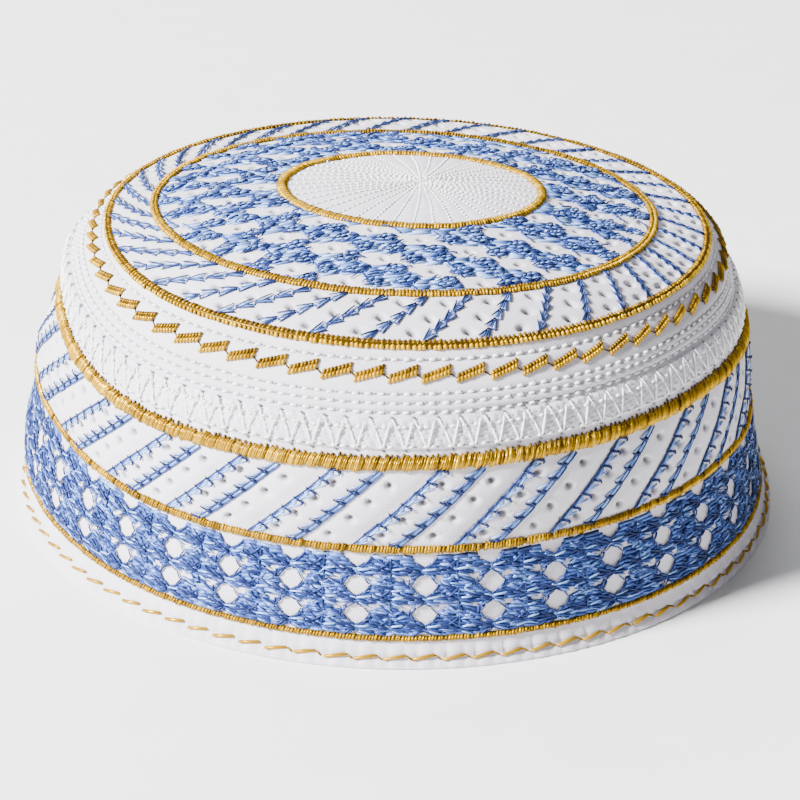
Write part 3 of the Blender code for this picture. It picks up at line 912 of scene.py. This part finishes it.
def padding(name, length, lift, radius, shade, sink=None):
    """A round padding cord that lies along one ring of the cap."""
    turns = np.arange(CORE_POINTS) * 360 / CORE_POINTS
    lift = lift - (sink(turns) if sink else 0)
    places = surface(np.full(CORE_POINTS, float(length)), turns, lift) * MM
    source = path_object(name, places, [(k, (k + 1) % CORE_POINTS) for k in range(CORE_POINTS)])
    core = run_tree(source, CORDING, {"Thread": gold_thread, "Radius": radius * MM, "Sides": 8})
    # The core's low shade is painted shade: it darkens the gaps between the satin stitches above it.
    set_attribute(core, "shade", "FLOAT", "value", np.full(len(core.vertices), shade))
    return core


def join(name, meshes, material):
    """Joins plain meshes into one piece."""
    work = bmesh.new()
    for mesh in meshes:
        work.from_mesh(mesh)
    result = bpy.data.meshes.new(name)
    for face in work.faces:
        face.smooth = True
        face.material_index = 0
    work.to_mesh(result)
    work.free()
    result.materials.append(material)
    for extra in [a.name for a in result.attributes if a.name in ("along", "upward", "size")]:
        result.attributes.remove(result.attributes[extra])
    piece = add_object(name, result)
    report(piece)
    return piece


def embroider(name, material, *families, unevenness=0.12):
    """Sews families of rows, each with its shape of stitch, as one piece."""
    meshes = [sew(name, rows, shape, material, unevenness) for rows, shape in families]
    return join(name, meshes, material)


# %% [markdown]
# ## The gold cords
#
# Six raised gold rows circle the cap. Each is a padding cord under satin stitches that lie side by
# side and lean a little to the right. The middle and outer rows of the crown and the step braid are
# worked in pairs of stitches, which look like a row of beads: the upper one is painted darker as
# shade, the lower one lighter as lit.

# %% Satin rows


def satin_ring(length, width, height, count, lean, shade, lift=0.0, crowd=1.12, wander=0.06):
    """Rows of satin stitches across one ring. lean is how far the upper end lies to the right."""
    turns = (np.arange(count) + dice.uniform(-0.18, 0.18, count)) * 360 / count
    step = 360 / count * around(length)
    half = lean / 2 / around(length)
    upper = length - width / 2 + dice.normal(0, wander, count)
    lower = length + width / 2 + dice.normal(0, wander, count)
    shades = np.clip(shade + dice.normal(0, 0.10, count), 0, 1)
    wide = np.full(count, step * crowd)
    return np.stack([upper, turns + half, lower, turns - half, wide, np.full(count, height),
                     shades, np.full(count, lift)], 1)


def lumpy(rows, lump):
    """Bundles satin stitches in uneven lumps with thin gaps, as a tired needle leaves them.
    The last stitch of each bundle is painted dark as shade in its gap.
    """
    count = len(rows)
    edges = np.cumsum(dice.integers(lump[0], lump[1], count))
    bundle = np.searchsorted(edges, np.arange(count), side="right")
    middle = np.array([rows[bundle == b, 1].mean() for b in range(bundle.max() + 1)])[bundle]
    pull = (rows[:, 1] - middle) * -0.06
    rows[:, 1] += pull
    rows[:, 3] += pull
    thick = dice.normal(1, 0.08, bundle.max() + 1)[bundle]
    rows[:, 5] *= np.clip(thick, 0.85, 1.15)
    # Painted shade: the last stitch of each bundle is darkened as if shaded in the gap.
    rows[:, 6] += dice.normal(0, 0.05, bundle.max() + 1)[bundle] - 0.3 * (np.diff(bundle, append=0) > 0)
    return rows


def rear_sink(turn):
    """At the rear the outer cord is pulled a little down into the cloth."""
    return 0.3 / (1 + np.exp((np.abs(wrap(turn - 165)) - 30) / 4))


# %% The six rings
gold_pieces = {}


def gold_ring(node, name, length, core, layers, sink=None):
    """Sews layers of satin on a core. Core: lift, radius, shade; its dark shade is painted shade
    between the stitches. A layer: shape of its stitches, lumps, unevenness, millimetres down the
    cloth from the core, then the values of satin_ring."""
    meshes = [padding(name + " core", length, *core, sink)]
    for shape, lumps, unevenness, down, *values in layers:
        rows = satin_ring(length + down, *values)
        rows = lumpy(rows, lumps) if lumps else rows
        if sink:
            rows[:, 7] -= sink(rows[:, 1])
        meshes.append(sew(name, rows, shape, gold_thread, unevenness))
    gold_pieces[node] = join(name, meshes, gold_thread)


gold_ring("crown_cord_inner", "inner_cord_satin", INNER_CORD, (-0.12, 0.95, 0.2), [
    (satin_shape, None, 0.12, 0, 2.3, 1.15, 262, 0.25, 0.62)])
# In the paired rows the upper stitches get the lower shade as painted shade, and the lower ones a higher
# shade as painted light.
gold_ring("crown_cord_middle", "middle_cord_satin", MIDDLE_CORD, (-0.15, 0.85, 0.1), [
    (bead_shape, None, 0.12, -0.45, 1.15, 0.95, 490, 0.35, 0.40, 0.1, 0.95),
    (bead_shape, None, 0.12, 0.45, 1.15, 1.0, 490, 0.25, 0.64, 0.1, 0.86)])
gold_ring("crown_cord_outer", "outer_cord_beads", OUTER_CORD, (-0.1, 0.9, 0.05), [
    (bead_shape, None, 0.12, -0.42, 1.3, 0.95, 409, 0.8, 0.36, 0.1, 0.72),
    (bead_shape, None, 0.12, 0.42, 1.05, 1.1, 409, 0.2, 0.70, 0.1, 0.80)], rear_sink)
gold_ring("band_cord_upper", "upper_cord_satin", UPPER_CORD, (-0.35, 1.3, 0.2), [
    (satin_shape, (5, 10), 0.2, 0, 2.9, 1.4, 1090, 1.05, 0.66, 0.0, 1.2, 0.16),
    (bead_shape, None, 0.12, -1.6, 1.0, 0.5, 420, 0.2, 0.18, 0.08, 0.5, 0.15)])
gold_ring("band_cord_middle", "belt_cord_satin", BELT_CORD, (-0.2, 0.8, 0.15), [
    (bead_shape, (7, 16), 0.12, 0, 1.9, 1.05, 800, 0.6, 0.58, 0.0, 1.0, 0.10)])
gold_ring("band_cord_lower", "lower_cord_satin", LOWER_CORD, (-0.2, 0.65, 0.12), [
    (bead_shape, None, 0.12, 0, 1.4, 0.9, 800, 0.7, 0.48, 0.0, 0.9, 0.10)])

# %% [markdown]
# The step braid runs just under the crown's edge. Each of its blocks climbs to the right, and a
# thin thread drops from its end to the start of the next.

# %% Step braid
BLOCK_STITCHES = 8


def step_braid():
    rows = []
    for block in range(BRAID_BLOCKS):
        start = 3.0 + block * 360 / BRAID_BLOCKS + dice.normal(0, 0.08)
        for stitch in range(BLOCK_STITCHES):
            share = (stitch + 0.5) / BLOCK_STITCHES
            turn = start + 4.75 * share
            length = 79.15 - 1.85 * share
            # Each pair is painted as light and shade: the lower stitch lighter as lit, the upper one darker
            # as shaded.
            lit_shade = 0.60 + dice.normal(0, 0.09)
            rows.append((length - 1.05, turn + 0.42, length + 0.1, turn + 0.05,
                         0.80, 0.8, lit_shade - 0.28, 0.05))
            rows.append((length - 0.15, turn + 0.25, length + 1.0, turn - 0.12, 0.82, 1.0, lit_shade, 0.05))
        rows.append((78.0, start + 4.6, 79.0, start + 5.7, 0.35, 0.3, 0.05, 0.0))
    return rows


gold_pieces["step_braid"] = embroider("step_braid_stitches", gold_thread, (step_braid(), bead_shape))

# %% Long gold stitches of the hem


def hem_dashes():
    rows = []
    for dash in range(DASHES):
        start = -14.8 + dash * 360 / DASHES + dice.normal(0, 0.1)
        tall = dice.normal(0, 0.08)
        rows.append((143.75 + tall, start, 142.75 + tall, start + 3.35, 0.80, 0.85, 0.56, 0.22))
        if -20 < wrap(start) < 179:
            rows.append((142.8 + tall, start + 3.2, 143.7, start + 4.0, 0.46, 0.5, 0.38, 0.05))
    return rows


hem_stitches = embroider("hem_gold_stitches", gold_thread, (hem_dashes(), strand_shape), unevenness=0.08)

# %% [markdown]
# ## White stitching
#
# White thread quilts the cap: forty radial lines in the middle, four running rows around the
# shoulder, a zigzag over the seam strip and two rows of small stitches along its sides.

# %% Quilting, running rows and the seam zigzag


def quilting():
    rows = []
    for line in range(QUILT_LINES):
        turn = line * 360 / QUILT_LINES + dice.normal(0, 0.25)
        for length in np.arange(2.2 + (line % 4) * 0.9, 29.6, 1.55):
            rows.append((length, turn, length + 0.85, turn, 0.56, 0.6, 1.0, -0.05))
            # The dark dash between is white thread with a dark shade: painted shade in the needle dent.
            rows.append((length + 0.80, turn, length + 1.5, turn, 0.40, 0.24, 0.04, -0.05))
    return rows


def running(length, pitch, seed):
    count = int(round(360 * float(around(length)) / pitch))
    chance = np.random.default_rng(seed)
    rows = []
    degree = 1 / float(around(length))
    drift = chance.uniform(0, 6)
    for k in range(count):
        turn = k * 360 / count + chance.normal(0, 0.06)
        here = length + 0.15 * math.sin(math.radians(turn * 5) + drift)
        rows.append((here + 0.14, turn, here - 0.14, turn + 1.6 * degree, 0.68, 0.85, 1.0, 0.0))
        # Between the bright stitches lies the same white thread with a dark shade: painted shade of the
        # groove.
        rows.append((here, turn + 1.4 * degree, here, turn + (pitch - 0.05) * degree,
                     0.46, 0.3, 0.16, -0.02))
    return rows


def seam_stitches():
    rows = []
    step = 360 / ZIGZAGS
    for k in range(ZIGZAGS):
        top = 1.7 + k * step + dice.normal(0, 0.15)
        bottom = top + step * 0.57
        rows.append((87.2, top, 90.4, top + step * 0.33, 0.50, 0.6, 1.0, 0.85))
        rows.append((90.1, top + step * 0.31, 93.9, bottom, 0.50, 0.6, 1.0, 0.80))
        rows.append((93.9, bottom + 0.1, 87.6, top + step * 0.93, 0.50, 0.7, 1.0, 0.90))
        # The two dark short strands below are painted shade in the needle holes at the turning points.
        rows.append((87.0, top - 0.25, 87.3, top + 0.35, 0.62, 0.35, 0.0, 0.55))
        rows.append((94.0, bottom - 0.3, 94.5, bottom + 0.4, 0.60, 0.4, 0.05, 0.10))
        for shift in (0.12, 0.52):
            turn = top + step * (shift + dice.normal(0, 0.05))
            rows.append((89.35, turn, 89.0, turn + 0.8, 0.64, 0.8, 1.0, 0.80))
            rows.append((93.6, turn + 0.9, 93.3, turn + 1.9, 0.66, 0.85, 1.0, 0.50))
            # A dark short strand: painted shade in the needle hole.
            rows.append((93.5, turn + 1.7, 93.5, turn + 2.3, 0.36, 0.3, 0.05, 0.50))
    return rows


white_rows = quilting() + seam_stitches()
for number, row in enumerate(RUNNING_ROWS):
    white_rows += running(row, 2.75, number)
white_stitching = embroider("white_stitching", white_thread, (white_rows, strand_shape))

# %% [markdown]
# ## The blue field of the crown
#
# Light blue thread covers the field except for its white windows. Over it lie dark leaves, each a
# fan of strands, three for every window, and a thin dark thread of two strands along each window's
# right side.

# %% Light ground of the crown field
FIELD_REACH, STRAND_STEP = 61, 0.82


def inside_windows(x, y, grow=0.0):
    inside = np.zeros(x.shape, bool)
    for centre_x, centre_y in CROWN_WINDOWS:
        down = y - centre_y
        across = x - centre_x - WINDOW_LEAN * down
        inside |= (np.abs(down) < WINDOW_TALL + grow) & (np.abs(across) < WINDOW_WIDE + grow)
    return inside


def crown_ground():
    """Light strands side by side, cut where they would cross a window or a gold cord."""
    rows = []
    direction = np.array([0.985, -0.17])
    side = np.array([0.17, 0.985])
    for line, offset in enumerate(np.arange(-FIELD_REACH, FIELD_REACH, STRAND_STEP)):
        steps = np.arange(-FIELD_REACH + (line % 3) * 1.1, FIELD_REACH, 0.3)
        x = offset * side[0] + steps * direction[0]
        y = offset * side[1] + steps * direction[1]
        out = np.hypot(x, y)
        free = (out > FIELD_INSIDE - 0.2) & (out < FIELD_OUTSIDE + 0.3) & ~inside_windows(x, y, 0.45)
        begin = None
        reach = dice.integers(11, 20)
        for k in range(len(steps)):
            stop = begin is not None and (not free[k] or k - begin > reach)
            if stop:
                if k - begin > 2:
                    sway = dice.normal(0, 0.12, 2)
                    rows.append((x[begin] + side[0] * sway[0], y[begin] + side[1] * sway[0],
                                 x[k - 1] + side[0] * sway[1], y[k - 1] + side[1] * sway[1]))
                begin = None
                reach = dice.integers(11, 20)
            if begin is None and free[k]:
                begin = k
    return np.array(rows)


def flat_threads(flat, width, height, shade, lift):
    """Turns flat start and end places on the crown into stitch rows."""
    start_length, start_turn = flat_to_cap(flat[:, 0], flat[:, 1])
    stop_length, stop_turn = flat_to_cap(flat[:, 2], flat[:, 3])
    count = len(flat)
    columns = [start_length, start_turn, stop_length, stop_turn]
    columns += [np.broadcast_to(value, count) for value in (width, height, shade, lift)]
    return np.stack(columns, 1)


ground = crown_ground()
ground_shade = dice.choice([0.66, 0.82, 0.98], len(ground), p=[0.25, 0.4, 0.35])
ground_rows = flat_threads(ground, 1.12, 0.42, ground_shade, 0.0)
print("light strands in the crown field:", len(ground_rows))

# %% Dark leaves of the crown field
# A leaf is a fan of bent threads that meet at both tips, with light threads between them.
LEAF_ALONG = np.array([5.5, -2.0])
LEAF_ACROSS = np.array([0.35, 1.95])
LEAF_CENTRES = [(3.6, 4.6), (-5.2, 4.5), (-1.4, 9.4)]


def leaf_threads():
    """Threads of one leaf: along from 0 to 1 and across from -1 to 1, twice, shade and width."""
    threads = []
    for bend, parts, light in ((-1.15, 3, 0), (-0.88, 3, 0), (-0.55, 3, 1), (-0.15, 3, 0), (0.12, 2, 0),
                               (0.45, 2, 1), (0.85, 3, 0)):
        bend = bend + dice.normal(0, 0.07)
        shade = dice.uniform(0.9, 1.05) if light else dice.choice([0.14, 0.32, 0.48], p=[0.4, 0.35, 0.25])
        begin, end = dice.uniform(-0.05, 0.12) + 0.12 * light, dice.uniform(0.88, 1.06) - 0.15 * light
        stops = np.linspace(begin, end, parts + 1)
        inside = np.clip(stops, 0, 1)
        heights = bend * 2.7 * inside ** 0.9 * (1 - inside) ** 0.7
        for k in range(parts):
            threads.append((stops[k], heights[k], stops[k + 1], heights[k + 1], shade, 0.40))
    for loose in range(3):
        a, b = dice.uniform(-0.25, 0.9), dice.choice([-1, 1]) * dice.uniform(1.0, 1.5)
        threads.append((a, b, a + dice.uniform(0.3, 0.55), b + dice.normal(0, 0.5),
                        dice.uniform(0.3, 0.55), 0.30))
    return threads


def crown_leaves():
    rows = []
    for window in CROWN_WINDOWS:
        for centre in LEAF_CENTRES:
            middle = window + centre + dice.normal(0, 0.15, 2)
            if not FIELD_INSIDE + 0.6 < np.hypot(*middle) < FIELD_OUTSIDE - 0.4:
                continue
            size = dice.normal(1, 0.06)
            for along_a, across_a, along_b, across_b, shade, wide in leaf_threads():
                ends = []
                for a, b in ((along_a, across_a), (along_b, across_b)):
                    reach = (a - 0.5) * LEAF_ALONG + b * LEAF_ACROSS
                    ends += list(middle + size * reach + dice.normal(0, 0.06, 2))
                spot = np.array([ends[0] + ends[2], ends[1] + ends[3]]) / 2
                if not inside_windows(spot[:1], spot[1:], -0.15)[0]:
                    rows.append((*ends, shade + dice.normal(0, 0.04), wide))
        x, y = window
        rows.append((x + 2.9, y - 4.0, x + 5.2, y - 0.6, 0.14, 0.34))
        rows.append((x + 5.0, y - 0.8, x + 7.0, y + 2.0, 0.12, 0.34))
    rows = np.array(rows)
    for a, b in ((0, 1), (2, 3)):
        out = np.hypot(rows[:, a], rows[:, b])
        keep = np.clip(out, FIELD_INSIDE, FIELD_OUTSIDE) / out
        rows[:, a] *= keep
        rows[:, b] *= keep
    length = np.hypot(rows[:, 2] - rows[:, 0], rows[:, 3] - rows[:, 1])
    middle = np.hypot(rows[:, 2] + rows[:, 0], rows[:, 3] + rows[:, 1]) / 2
    return rows[(length > 0.6) & (middle > FIELD_INSIDE + 0.2) & (middle < FIELD_OUTSIDE - 0.2)]


leaves = crown_leaves()
leaf_rows = flat_threads(leaves, leaves[:, 5], 0.50, np.clip(leaves[:, 4], 0, 1), 0.30)
crown_embroidery = embroider("crown_field_embroidery", blue_thread,
                             (ground_rows, filling_shape), (leaf_rows, strand_shape))

# %% [markdown]
# ## Slanted lines of the crown's border and of the wall
#
# Border lines are chains of small arrows that point up in one line and down in the next. Each arrow
# has three dark strands, two light ones between them and a short link across. Wall lines have light
# threads beside dark ones, and hooks that stand out to the right in one line and to the left in the
# next.

# %% Chains of the border
ARROW = [
    (1.02, 0.00, 0.02, -0.95, 0.12, 0.40), (1.00, 0.04, 0.08, -0.20, 0.36, 0.36),
    (1.02, 0.06, 0.00, 0.90, 0.10, 0.40), (0.84, 0.16, 0.08, 0.50, 0.90, 0.60),
    (0.84, -0.14, 0.10, -0.60, 0.82, 0.58), (0.10, -0.60, -0.06, 0.50, 0.55, 0.42),
]


def slanted(start_length, start_turn, end_length, end_turn, motif, steps, upward, half):
    """Repeats a motif of strands along a slanted line. Motif: along, across twice, shade, width."""
    rows = []
    low, high = min(start_length, end_length) - 0.3, max(start_length, end_length) + 0.3
    scale = float(around((start_length + end_length) / 2))
    run = np.array([end_turn - start_turn, 0.0]) * scale + np.array([0.0, end_length - start_length])
    step = run / steps
    side = np.array([step[1], -step[0]]) / np.linalg.norm(step)
    for k in range(steps):
        base = np.array([0.0, start_length]) + step * k + dice.normal(0, 0.06, 2)
        for a0, b0, a1, b1, shade, width in motif:
            ends = []
            for a, b in ((a0, b0), (a1, b1)):
                a = a if upward else 1 - a
                spot = base + step * a * 1.06 + side * b * half + dice.normal(0, 0.05, 2)
                ends += [min(max(spot[1], low), high), start_turn + spot[0] / scale]
            rows.append((*ends, width, 0.42, shade + dice.normal(0, 0.05),
                         0.05 + 0.12 * (shade < 0.5) + 0.16 * (shade < 0.11)))
    return rows


border_rows = []
for number in range(BORDER_LINES):
    start = border_start(number)
    end = start + border_slant(start)
    border_rows += slanted(BORDER_FOOT, start, BORDER_TOP, end, ARROW, 5, number % 2 == 0, 1.25)
border_chains = embroider("border_chains", blue_thread, (border_rows, strand_shape))

# %% Lines of the wall
RIGHT_HOOKS = [
    (-0.02, -0.08, 1.03, -0.08, 0.13, 0.48), (0.00, 0.46, 1.03, 0.46, 0.80, 1.00),
    (0.10, 0.85, 0.95, 0.78, 0.95, 0.50), (0.02, 0.05, -0.14, 1.05, 0.06, 0.56),
    (-0.12, 0.90, -0.24, 1.80, 0.03, 0.68), (-0.26, 1.72, -0.06, 1.98, 0.05, 0.54),
    (0.00, -0.05, 0.05, -0.60, 0.08, 0.46), (-0.04, 1.90, 0.74, 0.60, 0.84, 0.46),
    (0.30, 0.15, 0.90, 0.30, 0.36, 0.36),
]
LEFT_HOOKS = [
    (-0.02, 0.10, 1.04, 0.10, 0.80, 1.20), (0.05, 0.30, 0.60, 0.10, 1.05, 0.50),
    (-0.02, 0.70, 1.04, 0.68, 0.30, 0.42), (0.00, -0.45, 1.00, -0.40, 0.38, 0.36),
    (0.92, 0.66, 1.08, -0.60, 0.04, 1.00), (1.06, -0.45, 1.22, -1.60, 0.08, 0.60),
    (1.22, -1.50, 1.20, -2.00, 0.08, 0.46), (1.12, -1.60, 0.45, -0.40, 0.86, 0.52),
]
wall_rows = []
for number in range(WALL_LINES):
    top = wall_top(number) + dice.normal(0, 0.10)
    motif = RIGHT_HOOKS if number % 2 == 0 else LEFT_HOOKS
    wall_rows += slanted(WALL_TOP, top, WALL_FOOT, top - WALL_SLANT, motif, 7, True, 1.0)
wall_lines = embroider("wall_line_stitches", blue_thread, (wall_rows, strand_shape))

# %% [markdown]
# ## The blue belt of the side band
#
# The belt is the densest part. Light and middle blue strands run around it, and dark threads cross
# over them from knot to knot, leaving two rows of white windows.

# %% Ground of the belt
BELT_TOP, BELT_BOTTOM = 118.9, 138.1
COLUMN_STEP = 360 / WINDOW_COLUMNS
FIRST_COLUMN = 3.0
BELT_STRAND_STEP = 0.88
WINDOW_ROWS = [(118.6, 2.5, 2.6), (125.6, 2.95, 2.65), (132.6, 2.95, 2.65), (138.8, 1.7, 2.0)]


def in_belt_window(turn, length):
    inside = np.zeros(np.broadcast(turn, length).shape, bool)
    column = (wrap(turn - FIRST_COLUMN) + COLUMN_STEP / 2) % COLUMN_STEP - COLUMN_STEP / 2
    across = column * around(length)
    for centre, half_wide, half_tall in WINDOW_ROWS:
        down = np.abs(length - centre) / half_tall
        inside |= (np.abs(across) / half_wide) ** 1.6 + down ** 1.6 < 1
    for centre in (125.6, 132.6):
        for shift, wide in ((-4.1, 1.2), (3.5, 0.9)):
            inside |= np.abs(across - shift) / wide + np.abs(length - centre + 1.8) / 0.9 < 1
    return inside


def belt_ground():
    rows = []
    for line, length in enumerate(np.arange(BELT_TOP + 0.2, BELT_BOTTOM, BELT_STRAND_STEP)):
        degree = 1 / float(around(length))
        turn = (line * 1.37) % 2
        while turn < 360:
            reach = dice.uniform(2.6, 4.4) * degree
            rise = dice.normal(0, 0.45)
            steps = np.linspace(0, 1, 12)
            heights = np.clip(length + rise * (steps - 0.5), BELT_TOP, BELT_BOTTOM)
            free = ~in_belt_window(turn + steps * reach, heights)
            if free.all():
                rows.append((length - rise / 2, turn, length + rise / 2, turn + reach,
                             dice.choice([0.36, 0.52, 0.66, 0.80])))
            elif free.sum() > 3:
                run = np.flatnonzero(free)
                a, b = steps[run[0]], steps[run[-1]]
                if free[run[0]:run[-1] + 1].all():
                    rows.append((length + rise * (a - 0.5), turn + a * reach,
                                 length + rise * (b - 0.5), turn + b * reach, 0.55))
            turn += reach * 0.93
    return np.array(rows)


belt = belt_ground()
belt_rows = np.column_stack([belt[:, :4], np.full(len(belt), 1.25), np.full(len(belt), 0.5),
                             belt[:, 4] + dice.normal(0, 0.06, len(belt)), np.zeros(len(belt))])
print("ground strands of the belt:", len(belt_rows))

# %% Dark net of the belt
# Strands around one window: start and end in degrees and millimetres from its middle, shade.
NET = [
    (-1.9, -1.4, -0.3, -3.2, 0.30), (-2.0, -1.5, -2.2, 0.3, 0.20), (-4.6, -1.7, -1.9, 0.3, 0.12),
    (-2.8, 2.2, -0.4, 3.5, 0.08), (2.1, 0.4, 0.4, 3.0, 0.30), (2.2, -0.2, 4.6, 0.6, 0.14),
    (4.7, -3.3, 5.0, -0.5, 0.16), (4.9, 0.6, 4.7, 3.3, 0.18), (4.8, -0.3, 3.2, -2.6, 0.35),
    (2.9, 0.7, 4.6, 3.0, 0.30), (3.0, 3.2, 5.0, 0.8, 0.22), (-4.6, 1.0, -2.6, 2.9, 0.34),
]
WINDOW_EDGE = [
    (0.0, -2.85), (1.65, -1.85), (3.0, -0.1), (1.85, 1.75), (0.0, 2.8), (-1.85, 1.75), (-3.05, 0.0),
    (-1.75, -1.8), (0.0, -2.85)]


def strewn(strands, turn, length, spread, tint_spread, height, lift, low=-math.inf, high=math.inf):
    """Lays strands of a motif around one place, each a little off. Spread: down and across."""
    rows = []
    for a0, b0, a1, b1, shade, wide in strands:
        one, two = length + b0 + dice.normal(0, spread[0]), length + b1 + dice.normal(0, spread[0])
        if min(one, two) < low or max(one, two) > high:
            continue
        left, right = turn + a0 + dice.normal(0, spread[1]), turn + a1 + dice.normal(0, spread[1])
        rows.append((one, left, two, right, wide, height, shade + dice.normal(0, tint_spread), lift))
    return rows


def belt_net():
    """Loose dark threads between the windows, and the threads that run around each window."""
    degree = 1 / float(around(129))
    edge = []
    for k, (one, two) in enumerate(zip(WINDOW_EDGE[:-1], WINDOW_EDGE[1:])):
        shade, wide = (0.24, 0.62) if 3 < k < 7 else (0.16, 0.36)
        edge.append((one[0] * degree, one[1], two[0] * degree, two[1], shade, wide))
    strands = [(*strand, 0.46) for strand in NET] + edge
    rows = []
    for column in range(WINDOW_COLUMNS):
        middle = FIRST_COLUMN + column * COLUMN_STEP + dice.normal(0, 0.12)
        for centre in (118.6, 125.6, 132.6, 139.5):
            rows += strewn(strands, middle, centre, (0.08, 0.06), 0.05, 0.5, 0.3,
                           BELT_TOP - 0.1, BELT_BOTTOM + 0.2)
    return rows


# %% Knots and loose strands of the belt
# Strands that meet at one knot: start and end in degrees and millimetres from it, shade, width.
KNOT = [
    (-3.1, -0.9, -1.2, -0.4, 0.10, 0.60), (-1.4, -0.5, 0.1, 0.0, 0.03, 0.66),
    (-2.6, -1.9, -0.2, -0.1, 0.14, 0.52), (-2.0, 0.2, -0.1, 0.1, 0.26, 0.50),
    (0.2, 0.0, 2.6, 0.7, 0.30, 0.46), (0.3, -0.4, 2.4, -0.9, 0.94, 0.50), (0.4, 0.6, 2.2, 1.5, 0.80, 0.46),
]


def belt_knots():
    rows = []
    for column in range(WINDOW_COLUMNS):
        middle = FIRST_COLUMN + column * COLUMN_STEP
        for shift in (0.0, COLUMN_STEP / 2):
            for length in (122.4, 129.2, 136.1):
                knot = middle + shift - 0.2 + dice.normal(0, 0.15)
                high = length + dice.normal(0, 0.15)
                rows += strewn(KNOT, knot, high, (0.1, 0.1), 0.04, 0.55, 0.34)
        for shift, length in ((3.7, 124.3), (5.9, 126.7), (3.7, 131.3), (5.9, 133.7)):
            for thread in range(5):
                turn = middle + shift + dice.normal(0, 0.5)
                high = length + dice.normal(0, 0.7)
                reach = dice.uniform(0.8, 1.7)
                rows.append((high, turn - reach / 2, high + dice.normal(0, 0.7), turn + reach / 2,
                             0.44, 0.5, dice.uniform(0.62, 0.9), 0.3))
    return rows


band_embroidery = embroider("belt_embroidery", blue_thread, (belt_rows, filling_shape),
                            (belt_net(), strand_shape), (belt_knots(), strand_shape))
for shape in (satin_shape, bead_shape, strand_shape, filling_shape):
    bpy.data.objects.remove(shape)

# %% [markdown]
# ## Floor, light and camera
#
# The photograph has a white sweep. Its main light is soft and stands at the upper left, a little in
# front. A weak fill in front and a soft light behind open the shadows. The camera looks down by
# about 27 degrees from some 60 cm away with a long lens.

# %% Floor
FLOOR_HALF = 4.0

paper, paper_tree = new_material("white paper sweep")
paper_grain = noise(paper_tree, add_node(paper_tree, "ShaderNodeTexCoord")["Object"], 60)
paper_colour = ramp(paper_tree, paper_grain, [(0.3, (0.90, 0.90, 0.905)), (0.7, (0.93, 0.93, 0.93))])
add_surface(paper_tree, {"Base Color": paper_colour, "Roughness": 0.9})
floor_mesh = bpy.data.meshes.new("floor")
floor_mesh.from_pydata([(x * FLOOR_HALF, y * FLOOR_HALF, 0) for x, y in ((-1, -1), (1, -1), (1, 1), (-1, 1))],
                       [], [(0, 1, 2, 3)])
floor_mesh.materials.append(paper)
floor = add_object("floor", floor_mesh)

# %% Soft lights
LIGHTS = {
    # place and size in metres, watts, colour
    "key": ((-2.6, -1.0, 2.0), 0.85, 730, (1.0, 0.99, 0.98)),
    "fill": ((0.2, -1.3, 0.6), 0.9, 0.9, (0.96, 0.97, 1.0)),
    "back": ((-0.4, 2.0, 2.2), 1.6, 42, (1.0, 1.0, 1.0)),
}
LIT_POINT = np.array([0, 0, 0.04])


def place_object(name, data, place, right, up, forward):
    """Puts a lamp or a camera at a place so that it looks along forward."""
    pose = np.eye(4)
    pose[:3, 0], pose[:3, 1], pose[:3, 2], pose[:3, 3] = right, up, -forward, place
    thing = add_object(name, data)
    thing.matrix_world = Matrix(pose.tolist())
    return thing


for name, (place, size, watts, colour) in LIGHTS.items():
    lamp = bpy.data.lights.new(name, "AREA")
    lamp.shape = "DISK"
    lamp.size, lamp.energy, lamp.color = size, watts, colour
    way = LIT_POINT - np.array(place)
    way /= np.linalg.norm(way)
    side = np.cross(way, (0, 0, 1))
    side /= np.linalg.norm(side)
    place_object(name, lamp, place, side, np.cross(side, way), way)
world = bpy.data.worlds.new("studio")
world.use_nodes = True
sky = world.node_tree.nodes["Background"].inputs
sky[0].default_value, sky[1].default_value = (0.95, 0.97, 1.0, 1), 0.20
bpy.context.scene.world = world
print("lights:", ", ".join(LIGHTS))

# %% Camera
ELEVATION = math.radians(26.81)
ROLL = math.radians(0.16)
CAMERA_FAR = 600.5
TARGET = np.array([1.27, 0.0, 19.02])
PICTURE_WIDTH, FOCAL_PIXELS, SENSOR = 800, 2408.93, 36

forward = np.array([0, math.cos(ELEVATION), -math.sin(ELEVATION)])
up = np.array([0, math.sin(ELEVATION), math.cos(ELEVATION)])
right = np.array([1.0, 0, 0])
lens = bpy.data.cameras.new("camera")
lens.sensor_width = SENSOR
lens.lens = FOCAL_PIXELS * SENSOR / PICTURE_WIDTH
lens.clip_start = 0.02
camera_place = (TARGET - forward * CAMERA_FAR) * MM
bpy.context.scene.camera = place_object(
    "camera", lens, camera_place, right * math.cos(ROLL) + up * math.sin(ROLL),
    up * math.cos(ROLL) - right * math.sin(ROLL), forward)
print("lens", round(lens.lens, 1), "mm, camera at", np.round(camera_place, 3))

# %% [markdown]
# ## Attach the pieces
#
# Every piece rides on the cap's one body, and the plain part that it stands for is hidden. The
# cloth table gives each cloth's flat size, which was worked out from this model.

# %% Ride and replace
FLAT = {
    crown_cloth: ((0.181, 0.181), math.pi * 0.0906 ** 2, "stretched", ["crown_panel"]),
    band_cloth: ((0.0484, 0.548), None, "stretched", ["side_band"]),
    hem_cloth: ((0.0105, 0.59), None, "folded", ["hem"]),
    seam_cloth: ((0.0105, 0.52), None, "gathered", ["seam_strip"]),
}
for piece, (flat, area, held, nodes) in FLAT.items():
    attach(piece, "root")
    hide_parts(*nodes)
for node, piece in gold_pieces.items():
    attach(piece, "root")
    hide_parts(node)
for piece, slot, node in ((crown_embroidery, "blue_thread", "crown_field"),
                          (band_embroidery, "blue_thread", "band_field"),
                          (border_chains, "blue_thread", None), (wall_lines, "blue_thread", None),
                          (hem_stitches, "gold_thread", None), (white_stitching, "white_cotton", None)):
    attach(piece, "root")
    if node:
        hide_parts(node)
